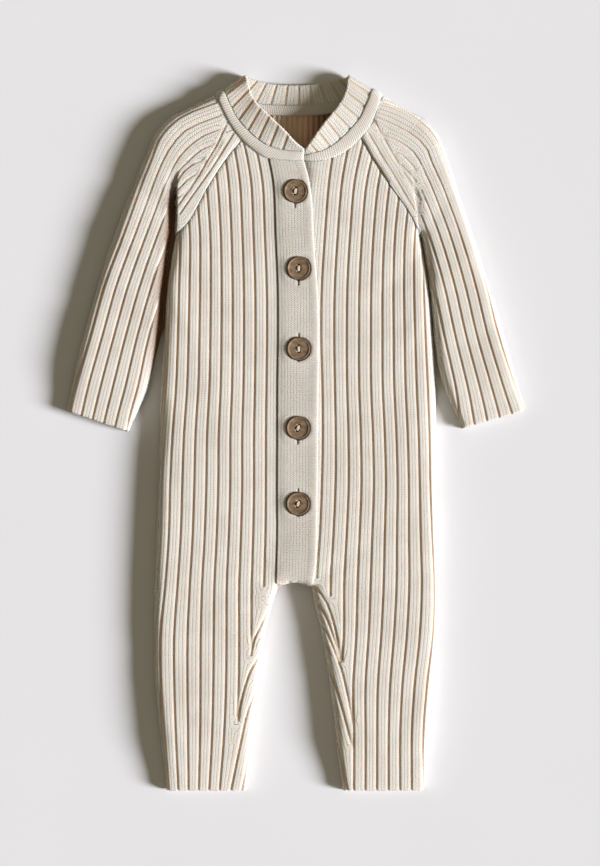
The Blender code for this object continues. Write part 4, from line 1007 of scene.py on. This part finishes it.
# %% [markdown]
# ## The sleeves
# A sleeve is a knitted tube, pressed flat. Six ribs run down the arm, bend over the shoulder and
# end on a band of two ribs beside the raglan seam. Its upper wall is open underneath: the space
# inside runs from the armhole to the cuff, so the cuff shows both walls.

# %% Sleeves
SLEEVE_NUMBERS = range(-1, 7)         # its valleys, from over the outer side to over the inner
VALLEY_SIDES = (-2.4, -1.6, -0.9, -0.45, 0.45, 0.9, 1.6, 2.4)    # mesh lines beside a valley
# The part of the right cap where short ribs meet, which gets an even mesh.
CAP_REGION = np.array([(56.0, 236.0), (66.0, 234.0), (80.0, 220.0), (98.0, 202.0), (100.0, 186.0),
                       (94.0, 170.0), (91.0, 166.0), (80.0, 182.0), (64.0, 206.0), (52.0, 226.0)])
FAINT, FAINT_FROM, FAINT_WIDTH = 0.5, 135.0, 35.0    # valleys lose this share over the cap


def faint_cap(points):
    """Share of a valley's depth that is left: less over the cap than down the arm."""
    return 1.0 - FAINT * ease((points[:, 1] - FAINT_FROM) / FAINT_WIDTH)


def make_sleeve(right):
    """One sleeve with its outline, as an upper and a lower wall."""
    top, short = RAGLAN[right][0][1], ARM_BAND[right] + CAP_SHORT[right]
    outer, inner = curve_through(OUTER[right], RIM_STEP), arm_side(right, RIM_STEP)
    valleys = [sleeve_line(right, number, FIELD_STEP) for number in SLEEVE_NUMBERS]
    for number, start in ARM_TOPS[right].items():
        valleys[number + 1] = valleys[number + 1][valleys[number + 1][:, 1] < start]
    valleys += curves_through(short, FIELD_STEP)
    guide = sleeve_line(right, 1, FIELD_STEP)
    band_edge = curve_through(ARM_BAND[right][1], RIM_STEP)[::-1]
    band = np.vstack([raglan(right, 2.0), band_edge])

    def along_of(points):
        """Courses run across the arm, and in the band across the raglan seam."""
        along = -nearest(guide, points)[1]
        in_band = inside(band, points)
        along[in_band] = -nearest(raglan(right, 0.0), points[in_band])[1]
        return along

    neck = front_neck(right, NECK_EDGE, lambda p: top + 1.0 < p[1] < 253.5)
    seam = raglan(right, -RAGLAN_GAP)
    down = (outer[-1] - outer[-6]) / np.linalg.norm(outer[-1] - outer[-6])
    cuff = open_edge(outer[-1], inner[-1], valleys, down)
    outline = np.vstack([neck, outer, cuff, inner[::-1], seam[::-1]])
    lines = strands(sleeve_line, right, SLEEVE_NUMBERS, RIB_STEP)
    for line in curves_through(short, RIB_STEP):
        lines += [line] + [beside(line, gap) for gap in VALLEY_SIDES]
    if right:
        lines = clear_of(lines, CAP_REGION)
    spots = spots_inside(CAP_REGION, LEG_STEP) if right else ()
    under = strands(sleeve_line, right, SLEEVE_NUMBERS, BACK_STEP)[::2]
    free = [outer[::3], inner[::3]]
    fold = (curve_through(UNDERARM[right], 3.0), *UNDERARM_SHAPE[right])
    face = rib_face(valleys, free, [seam[::2], neck[::2]], [CUFFS[right]], SLEEVE_SEAM_DROP,
                    fold, along_of, faint_cap)

    def inside_face(points):
        return turned_to(INSIDE_EDGE, free, BACK_WALL, points), plain_numbers(points)

    underside = pressed_face(valleys, free, 1.2, along_of)
    walls = [skin(outline, lines, face, lining_face(free, fold), spots=spots),
             skin(outline, under, inside_face, underside, under)]
    name = "sleeve_right_knit" if right else "sleeve_left_knit"
    return add_skins(name, walls, RIB_WOOL), outline


SLEEVE_LEFT, SLEEVE_LEFT_OUTLINE = make_sleeve(0)
SLEEVE_RIGHT, SLEEVE_RIGHT_OUTLINE = make_sleeve(1)
for made, outline, node in ((SLEEVE_LEFT, SLEEVE_LEFT_OUTLINE, "sleeve_left"),
                            (SLEEVE_RIGHT, SLEEVE_RIGHT_OUTLINE, "sleeve_right")):
    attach(made, "root")
    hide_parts(node)

# %% [markdown]
# ## The button bands
# Both bands are plain knit, all knit columns and no valleys, so they lie smooth beside the ribs.
# The upper one covers the lower one, and its free edge is folded back, which gives it a smooth
# bright roll. Each buttonhole is an upright slit that shows above and below its button.

# %% Faces of a button band
BAND_WALL, BAND_COLUMN = 2.2, 2.35
SMOOTH_COLUMN = 0.75      # half way from a column's heart to its border, where no V shows
BUTTON_PRESS, BUTTON_PUSH = 1.4, 0.4       # hollow under a button, and the swelling round it
FOLD_CREST, FOLD_RISE, FOLD_WIDE = 2.6, 0.55, 5.3    # the roll along the folded free edge
EDGE_DROP, EDGE_ROUND = 1.4, 1.6           # how far that edge turns down, and its radius
SEAM_SINK, SINK_WIDTH = 0.9, 4.0           # how the other edge sinks to its seam
SLIT_DEPTH, SLIT_HALF, SLIT_LEAN = 1.2, 0.6, 0.3
# How far each buttonhole shows above and below its button.
SLIT_REACH = [(-4.0, 3.4), (-4.0, 3.6), (2.4, 0.4), (-4.0, 3.2), (2.2, 0.2)]
SLITS = [np.array([(x, y + BUTTON_RADIUS + top), (x - SLIT_LEAN, y - BUTTON_RADIUS - low)])
         for (x, y, _), (top, low) in zip(BUTTONS, SLIT_REACH)]
PLACKET_SEAM, PLACKET_FREE = body_line(0, 0, RIM_STEP), curve_through(PLACKET_EDGE, RIM_STEP)


def button_hollow(points):
    """Depth of the hollow that each button presses into the band."""
    away = np.min([np.hypot(*(points - place[:2]).T) for place in np.array(BUTTONS)], axis=0)
    under = BUTTON_PRESS * (1.0 - ease((away - 8.9) / 0.9))
    return under - BUTTON_PUSH * np.exp(-((away - 11.8) / 2.4) ** 2)


def band_face(floor, seam_line):
    """The outer face of a band that starts at a height over the pillow."""
    def face(points):
        free, left = nearest(PLACKET_FREE[::3], points)[0], nearest(seam_line[::3], points)[0]
        slit = np.exp(-(gap_to(SLITS, points) / SLIT_HALF) ** 2)
        level = inner_level(points) + floor + BAND_WALL + creases(points)
        level = level + FOLD_RISE * np.exp(-((free - FOLD_CREST) / FOLD_CREST) ** 2)
        level = level - EDGE_DROP * (1.0 - rounded(free / EDGE_ROUND))
        level = level - SEAM_SINK * np.exp(-(left / SINK_WIDTH) ** 2) - SLIT_DEPTH * slit
        if floor > 0:
            level = level - button_hollow(points)
        # Painted shade: a line beside the seam and each buttonhole slit take the darker valley
        # colour.
        hollow = np.maximum(SEAM_SHADE * np.exp(-(left / 0.8) ** 4), slit)
        # Along the folded edge no V shows, so that strip is free of the painted gap shade and looks
        # brighter.
        columns = np.where(free < FOLD_WIDE, SMOOTH_COLUMN, left / BAND_COLUMN)
        return level, {"columns": columns, "along": points[:, 1], "hollow": hollow}
    return face


def band_under(floor):
    """The plain inner face of a band."""
    return lambda points: (inner_level(points) + floor + creases(points), plain_numbers(points))


print("a band is", BAND_WALL, "mm thick, with", len(SLITS), "buttonholes")

# %% Make the bands
SEAM_LINES = (0.4, 0.8, 1.2, 1.6, 2.0, 2.7)
FREE_LINES = (0.25, 0.6, 1.1, 1.7, 2.5, 3.4, 4.1, 4.7, 5.1, 5.5)
BUTTON_RINGS = (9.2, 9.7, 10.2, 10.8, 12.0, 13.4)
SLIT_LINES = (-1.0, -0.6, -0.3, 0.0, 0.3, 0.6, 1.0)


def band_outline(inset):
    """A band from the roll to the crotch, with its seam moved in by the inset."""
    seam = between(PLACKET_SEAM, BAND_LOW, BAND_HIGH[0]) + np.array([inset, 0.0])
    free = between(PLACKET_FREE, BAND_LOW, BAND_HIGH[1])
    neck = front_neck(0, NECK_EDGE, lambda p: seam[0, 0] + 0.8 < p[0] < free[0, 0])
    return np.vstack([neck, seam, CROTCH, free[::-1]])


def ring(x, y, radius):
    """A circle of mesh points round a button."""
    turns = np.radians(np.arange(0.0, 361.0, 7.5))
    return np.stack([x + radius * np.cos(turns), y + radius * np.sin(turns)], axis=1)


def make_band(name, node, inset, floor):
    """One button band, with mesh lines where its face bends."""
    outline = band_outline(inset)
    seam = PLACKET_SEAM + np.array([inset, 0.0])
    lines = [seam + np.array([gap, 0.0]) for gap in SEAM_LINES]
    lines += [PLACKET_FREE - np.array([gap, 0.0]) for gap in FREE_LINES]
    lines += [curve_through([(x, 212.0), (x, -117.0)], 2.0)
              for x in np.arange(-16.0, 12.0, BAND_COLUMN)]
    lines += [ring(x, y, radius) for x, y, _ in BUTTONS for radius in BUTTON_RINGS]
    lines += [curve_through([(x + gap, y + 12.0), (x + gap - SLIT_LEAN, y - 13.0)], 1.0)
              for x, y, _ in BUTTONS for gap in SLIT_LINES]
    wall = skin(outline, lines, band_face(floor, seam), band_under(floor))
    made = add_skins(name, [wall], BAND_WOOL)
    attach(made, "root")
    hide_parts(node)


make_band("placket_under_knit", "placket_under", 1.8, 0.0)
make_band("placket_top_knit", "placket_top", 0.3, BAND_WALL + 0.3)

# %% [markdown]
# ## The neck roll and the collar
# The roll is a few rounds of plain knit that curl into a cord along the neck seam, purl side
# out, so fine bars cross it. The collar stands on it, ribbed all the way round. At the front
# its outer face shows, and behind the opening its inner face.

# %% Closed tubes
def tube_sides(rings, around):
    """Four-sided faces between rings of points."""
    faces = []
    for ring in range(rings - 1):
        for step in range(around):
            there = (step + 1) % around
            faces.append((around * ring + step, around * ring + there,
                          around * (ring + 1) + there, around * (ring + 1) + step))
    return faces


def tube_ends(rings, around):
    """The faces that close the first and the last ring."""
    last = around * (rings - 1)
    return [tuple(range(around))[::-1], tuple(range(last, last + around))]


def outward(points, faces):
    """The faces, all turned round if they look inwards."""
    points, volume = np.asarray(points), 0.0
    for face in faces:
        first, *others = points[list(face)]
        volume += sum(np.dot(first, np.cross(*pair)) for pair in zip(others, others[1:]))
    return faces if volume > 0 else [tuple(face[::-1]) for face in faces]


def neck_rows(spacing):
    """Fine neck rows, unit vectors to the rim and out of the wall, and both lengths walked."""
    fine = curve_through(NECK_ROWS, spacing)
    middle = (fine[:, :3] + fine[:, 3:6]) / 2
    rise = unit(fine[:, 3:6] - fine[:, :3])
    face = unit(np.cross(rise, np.gradient(middle, axis=0)))
    walked = [np.concatenate([[0.0], np.cumsum(np.linalg.norm(np.diff(line, axis=0), axis=1))])
              for line in (fine[:, :3], middle)]
    return fine, rise, face, walked


def around_neck(name, points, around, stitches, finish):
    """A closed piece from rings of points round the neck, with one row of numbers a point."""
    rings = len(points) // around
    faces = outward(points, tube_sides(rings, around) + tube_ends(rings, around))
    return add_piece(name, points, faces, dict(zip(STITCH_NUMBERS, np.transpose(stitches))), finish)


print("a tube of 2 rings of 4 points has", len(tube_sides(2, 4) + tube_ends(2, 4)), "faces")

# %% Neck roll
ROUND_STEPS = 26                    # points round the roll
BAND_END, BAND_THINS = 0.7, 8.0     # share of the thickness left at its ends, and where it starts
TIP, TIP_LENGTH = 0.6, 1.8          # the same for the round tips
FULL_WIDTH = 1.12                   # the oval is drawn this much wider and cut off, to be fuller


def make_roll():
    """The neck roll, as a full oval swept along the neck seam."""
    fine, rise, face, (walked, _) = neck_rows(0.8)
    points, stitches = [], []
    for place, row in enumerate(fine):
        to_end = min(walked[place], walked[-1] - walked[place])
        thick = ROLL_RADIUS * (BAND_END + (1.0 - BAND_END) * float(ease(to_end / BAND_THINS)))
        half = (row[6] + ROLL_RADIUS) / 2
        centre = row[:3] + rise[place] * (row[6] - ROLL_RADIUS) / 2
        tip = TIP + (1.0 - TIP) * float(rounded(to_end / TIP_LENGTH))
        for step in range(ROUND_STEPS):
            turn = 2 * np.pi * step / ROUND_STEPS
            c, s = np.cos(turn), np.sin(turn)
            side = FULL_WIDTH * half * np.sign(c) * abs(c) ** 0.92
            lift = thick * tip * np.sign(s) * abs(s) ** 0.8
            points.append(centre + min(max(side, -half), half) * rise[place] + lift * face[place])
            stitches.append((SMOOTH_COLUMN, walked[place] + 0.5 * half * c, 0.0))
    made = around_neck("neck_roll_knit", points, ROUND_STEPS, stitches, ROLL_WOOL)
    return made, walked[-1]


# The purl bars of the roll darken the gaps between them, as painted shade.
ROLL_WOOL = wool("roll_wool", (0.87, 0.825, 0.745, 1.0), SHADE_AND_TINT, PAINTED_VALLEY_SHADE, relief=1.0, bars=0.5)
NECK_ROLL, ROLL_LENGTH = make_roll()
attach(NECK_ROLL, "root")
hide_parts("neck_band")

# %% Collar
COLLAR_WALL, COLLAR_PITCH, COLLAR_RISE = 2.6, 10.0, 18    # thickness, rib width, points up a face
COLLAR_ENDS = (16.5, 13.0)          # from its left and right front ends to the nearest valley
COLLAR_ROOM, COLLAR_FLANK = 1.2, 1.9          # half a valley, and the width of a rib's flank
COLLAR_DEPTH = 0.55                 # how far a valley goes into each face
RIM_EDGE, RIM_ROUND = 1.2, 1.3      # plain edge above the ribs, and how the rim is rounded
END_THIN, END_LENGTH = 0.4, 1.6     # share of the thickness at the front ends, and where it starts


def make_collar():
    """The collar, as a ribbed wall that stands on the roll."""
    fine, rise, face, (_, walked) = neck_rows(0.5)
    first, last = COLLAR_ENDS[0], walked[-1] - COLLAR_ENDS[1]
    valleys = np.linspace(first, last, int(round((last - first) / COLLAR_PITCH)) + 1)
    points, stitches = [], []
    loop = 2 * COLLAR_RISE
    for place, row in enumerate(fine):
        height, low = np.linalg.norm(row[3:6] - row[:3]), row[6] - 0.4
        gap = float(np.min(np.abs(valleys - walked[place])))
        to_end = min(walked[place], walked[-1] - walked[place])
        thick = END_THIN + (1.0 - END_THIN) * float(rounded(to_end / END_LENGTH))
        columns = RIB_COLUMNS * (gap - COLLAR_ROOM) / (COLLAR_PITCH - 2 * COLLAR_ROOM)
        for step in range(loop):
            outside = step < COLLAR_RISE
            share = (step + 0.5) / COLLAR_RISE if outside else (loop - step - 0.5) / COLLAR_RISE
            up = low + (height - low) * share
            lip = float(rounded((height - up + 0.15) / RIM_ROUND))
            bound = float(ease((height - up) / RIM_EDGE - 0.3))
            relief = 1.0 - (1.0 - float(rounded((gap - 0.5) / COLLAR_FLANK))) * bound
            half = COLLAR_WALL / 2 * lip * thick - COLLAR_DEPTH * (1.0 - relief) * thick
            out = face[place] * half * (1.0 if outside else -1.0)
            points.append(row[:3] + rise[place] * up + out)
            # The third stitch number is the painted shade of the collar's valleys.
            stitches.append((columns, up, 1.0 - relief))
    return around_neck("collar_knit", points, loop, stitches, COLLAR_WOOL), walked[-1]


COLLAR, COLLAR_LENGTH = make_collar()
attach(COLLAR, "root")
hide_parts("collar")
print("collar is", round(COLLAR_LENGTH), "mm round")

# %% [markdown]
# ## The buttons
# The buttons are turned discs of brown horn or corozo, with a low rim and two holes. They are
# made from one turned outline, finer than the solid's, and the thread is three short strands
# that bridge the holes.

# %% Button finish
HORN_DARK, HORN_LIGHT = (0.165, 0.105, 0.052, 1.0), (0.275, 0.19, 0.125, 1.0)
# The last colour is the near black of the button's side, partly painted shade.
HORN_SPECK, HORN_RIM_AND_SHADE = (0.12, 0.075, 0.04, 1.0), (0.05, 0.022, 0.01, 1.0)
THREAD_DARK, THREAD_LIGHT = (0.58, 0.48, 0.36, 1.0), (0.76, 0.67, 0.55, 1.0)


def button_finish():
    """Cloudy horn with fine specks; hollow is the distance from the middle, in radii."""
    f = Finish("button_horn", 0.42)
    cloud = f.noise(5.0, 4.0, (1.0, 1.8, 1.0))
    speck = f.noise(0.9, 2.0)
    colour = f.mix(f.span(cloud, 0.35, 0.65), HORN_DARK, HORN_LIGHT)
    colour = f.mix(f.span(speck, 0.55, 0.75, 0.0, 0.35), colour, HORN_SPECK)
    # The side of the button is painted near black: partly the horn's dark edge, partly painted
    # shade of the outline round it.
    colour = f.mix(f.span(f.number("hollow"), 0.94, 0.96), colour, HORN_RIM_AND_SHADE)
    f.bump(f.math("MULTIPLY", f.noise(0.6, 3.0), 0.05))
    return f.paint(colour)


def thread_finish():
    """Dull cotton thread."""
    f = Finish("button_thread", 0.8, 0.3)
    colour = f.mix(f.noise(0.5), THREAD_DARK, THREAD_LIGHT)
    f.bump(f.math("MULTIPLY", f.noise(0.25, 2.0), 0.08))
    return f.paint(colour)


HORN, THREAD = button_finish(), thread_finish()
print("finishes:", HORN.name, THREAD.name)

# %% Turn and drill a button
HOLE_RADIUS, HOLE_REACH = 1.0, 2.3     # radius of a hole, and how far it is from the middle
ROUND_BUTTON, ROUND_HOLE = 72, 24      # steps round a button and round a hole
# Radius and height, from the middle of the face over the rim to the middle of the underside.
BUTTON_PROFILE = [(0.0, 2.1), (3.5, 2.1), (6.9, 2.12), (7.3, 2.2), (7.6, 2.4), (7.9, 2.55),
                  (8.2, 2.6), (8.5, 2.52), (8.55, 2.5), (8.82, 2.2), (8.97, 1.8), (9.0, 1.4),
                  (8.9, 0.9), (8.6, 0.4), (8.1, 0.08), (7.4, 0.0), (0.0, 0.0)]
HOLE_PROFILE = [(0.0, 6.0), (HOLE_RADIUS, 6.0), (HOLE_RADIUS, -2.0), (0.0, -2.0)]


def turned(name, profile, steps, finish):
    """A turned solid from a profile whose first and last points lie on the axis."""
    turns = 2 * np.pi * np.arange(steps) / steps
    points = [(radius * np.cos(turn), radius * np.sin(turn), height)
              for radius, height in profile[1:-1] for turn in turns]
    rings = len(profile) - 2
    faces = [(a, d, c, b) for a, b, c, d in tube_sides(rings, steps)]
    faces += [end[::-1] for end in tube_ends(rings, steps)]
    away = np.hypot(*np.array(points)[:, :2].T) / BUTTON_RADIUS
    return add_piece(name, points, faces, {"hollow": away}, finish)


def drill(made, x, y):
    """Cut one round hole through a button."""
    cutter = turned("drill", HOLE_PROFILE, ROUND_HOLE, HORN)
    cutter.location = (x * MM, y * MM, 0.0)
    cut = made.modifiers.new("hole", "BOOLEAN")
    cut.operation, cut.solver, cut.object = "DIFFERENCE", "EXACT", cutter
    bpy.context.view_layer.update()
    cut_button = made.evaluated_get(bpy.context.evaluated_depsgraph_get())
    solid = bpy.data.meshes.new_from_object(cut_button)
    made.modifiers.clear()
    made.data = solid
    bpy.data.objects.remove(cutter, do_unlink=True)


print("a button is", 2 * BUTTON_RADIUS, "mm wide with holes of", 2 * HOLE_RADIUS, "mm")

# %% Buttons and their thread
THREAD_RADIUS, THREAD_STEPS = 0.38, 8
STRANDS, GATHER = (-0.62, 0.0, 0.62), 0.45     # where strands lie, and how they close to a hole
THREAD_LEVEL = 1.9                             # height of the button's face under the thread
# Share of the way to a hole, and height over the button's face, along a strand.
THREAD_PATH = ((-0.85, -1.6), (-0.8, 0.0), (-0.62, 0.4), (-0.3, 0.6), (0.0, 0.66), (0.3, 0.6),
               (0.62, 0.4), (0.8, 0.0), (0.85, -1.6))


def thread_on(name, centre, turn):
    """Three strands of thread from hole to hole, each a bent tube."""
    points, faces = [], []
    toward = np.array([np.sin(np.radians(turn)), np.cos(np.radians(turn)), 0.0])
    across = np.array([toward[1], -toward[0], 0.0])
    for offset in STRANDS:
        line = curve_through([centre + toward * HOLE_REACH * share
                              + across * offset * (1.0 - GATHER * abs(share))
                              + np.array([0.0, 0.0, height]) for share, height in THREAD_PATH], 0.3)
        first = len(points)
        for here, ahead in zip(line, unit(np.gradient(line, axis=0))):
            rise = np.cross(ahead, across)
            for step in range(THREAD_STEPS):
                angle = 2 * np.pi * step / THREAD_STEPS
                out = np.cos(angle) * across + np.sin(angle) * rise
                points.append(here + THREAD_RADIUS * out)
        faces += [tuple(first + corner for corner in face)
                  for face in tube_sides(len(line), THREAD_STEPS)]
    return add_piece(name, points, faces, {}, THREAD)


for number, (x, y, turn) in enumerate(BUTTONS, start=1):
    node = "button_%d" % number
    low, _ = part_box(node)
    made = turned("button_%d_horn" % number, BUTTON_PROFILE, ROUND_BUTTON, HORN)
    for reach in (-HOLE_REACH, HOLE_REACH):
        drill(made, reach * np.sin(np.radians(turn)), reach * np.cos(np.radians(turn)))
    for vertex in made.data.vertices:
        vertex.co += Vector((x * MM, y * MM, low[2]))
    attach(made, "root")
    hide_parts(node)
    face_middle = np.array([x, y, low[2] / MM + THREAD_LEVEL])
    thread = thread_on("button_%d_thread" % number, face_middle, turn)
    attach(thread, "root")

# %% [markdown]
# ## The floor, the light and the camera
# The romper lies on a plain pale surface. One large soft light stands low at its right, which
# makes the ribs stand out and lays a soft shadow at its left, and a pale sky fills the shade.
# The camera looks straight down from far away, so nothing leans.

# %% Floor
SURFACE, SURFACE_DROP = 9000.0, 0.05      # half its width, and its gap under the romper
SURFACE_TINTS = (0.80, 0.795, 0.80, 1.0), (0.83, 0.825, 0.83, 1.0)


def floor_finish():
    """A pale matt surface, with hardly any grain."""
    f = Finish("pale_surface", 0.9)
    colour = f.mix(f.noise(160.0, 3.0), *SURFACE_TINTS)
    f.bump(f.math("MULTIPLY", f.noise(1.2, 2.0), 0.02))
    return f.paint(colour)


corners = [(-SURFACE, -SURFACE, 0.0), (SURFACE, -SURFACE, 0.0),
           (SURFACE, SURFACE, 0.0), (-SURFACE, SURFACE, 0.0)]
floor = add_piece("floor", corners, [(0, 1, 2, 3)], {}, floor_finish())
floor.location.z = -SURFACE_DROP * MM

# %% Light
LAMP_AWAY = 3.0                           # from the romper to the lamp, in metres
SKY, SKY_STRENGTH = (1.0, 0.89, 0.64, 1.0), 0.19


def add_light(name, azimuth, elevation, angle, strength, colour):
    """A large soft light, aimed at the romper and even over the whole surface."""
    lamp = bpy.data.lights.new(name, "SUN")
    lamp.angle, lamp.energy, lamp.color = np.radians(angle), strength, colour
    made = bpy.data.objects.new(name, lamp)
    a, e = np.radians(azimuth), np.radians(elevation)
    made.location = LAMP_AWAY * Vector((np.cos(e) * np.cos(a), np.cos(e) * np.sin(a), np.sin(e)))
    made.rotation_euler = (-made.location).to_track_quat("-Z", "Y").to_euler()
    bpy.context.scene.collection.objects.link(made)
    print(name, "at", azimuth, "round and", elevation, "up, in degrees")


add_light("key_light", azimuth=-13.0, elevation=20.5, angle=18.0, strength=7.45,
          colour=(0.937, 0.944, 1.007))
world = bpy.data.worlds.new("pale_sky")
world.use_nodes = True
sky = world.node_tree.nodes["Background"]
sky.inputs[0].default_value, sky.inputs[1].default_value = SKY, SKY_STRENGTH
bpy.context.scene.world = world
bpy.context.scene.view_settings.view_transform = "Standard"

# %% Camera
DISTANCE, SHARP_LEVEL = 2.6, 0.008        # height of the camera, and of what it measures
MIDDLE_X, MIDDLE_Y, TALL = 3.06, -0.4, 663.4        # middle and height of the view, in mm
SENSOR = 36.0
lens = bpy.data.cameras.new("overhead")
lens.sensor_fit, lens.sensor_height, lens.sensor_width = "VERTICAL", SENSOR, SENSOR
lens.lens = SENSOR * (DISTANCE - SHARP_LEVEL) / (TALL * MM)
camera = bpy.data.objects.new("overhead", lens)
camera.location = (MIDDLE_X * MM, MIDDLE_Y * MM, DISTANCE)
bpy.context.scene.collection.objects.link(camera)
bpy.context.scene.camera = camera
print("lens", round(lens.lens, 1), "mm")
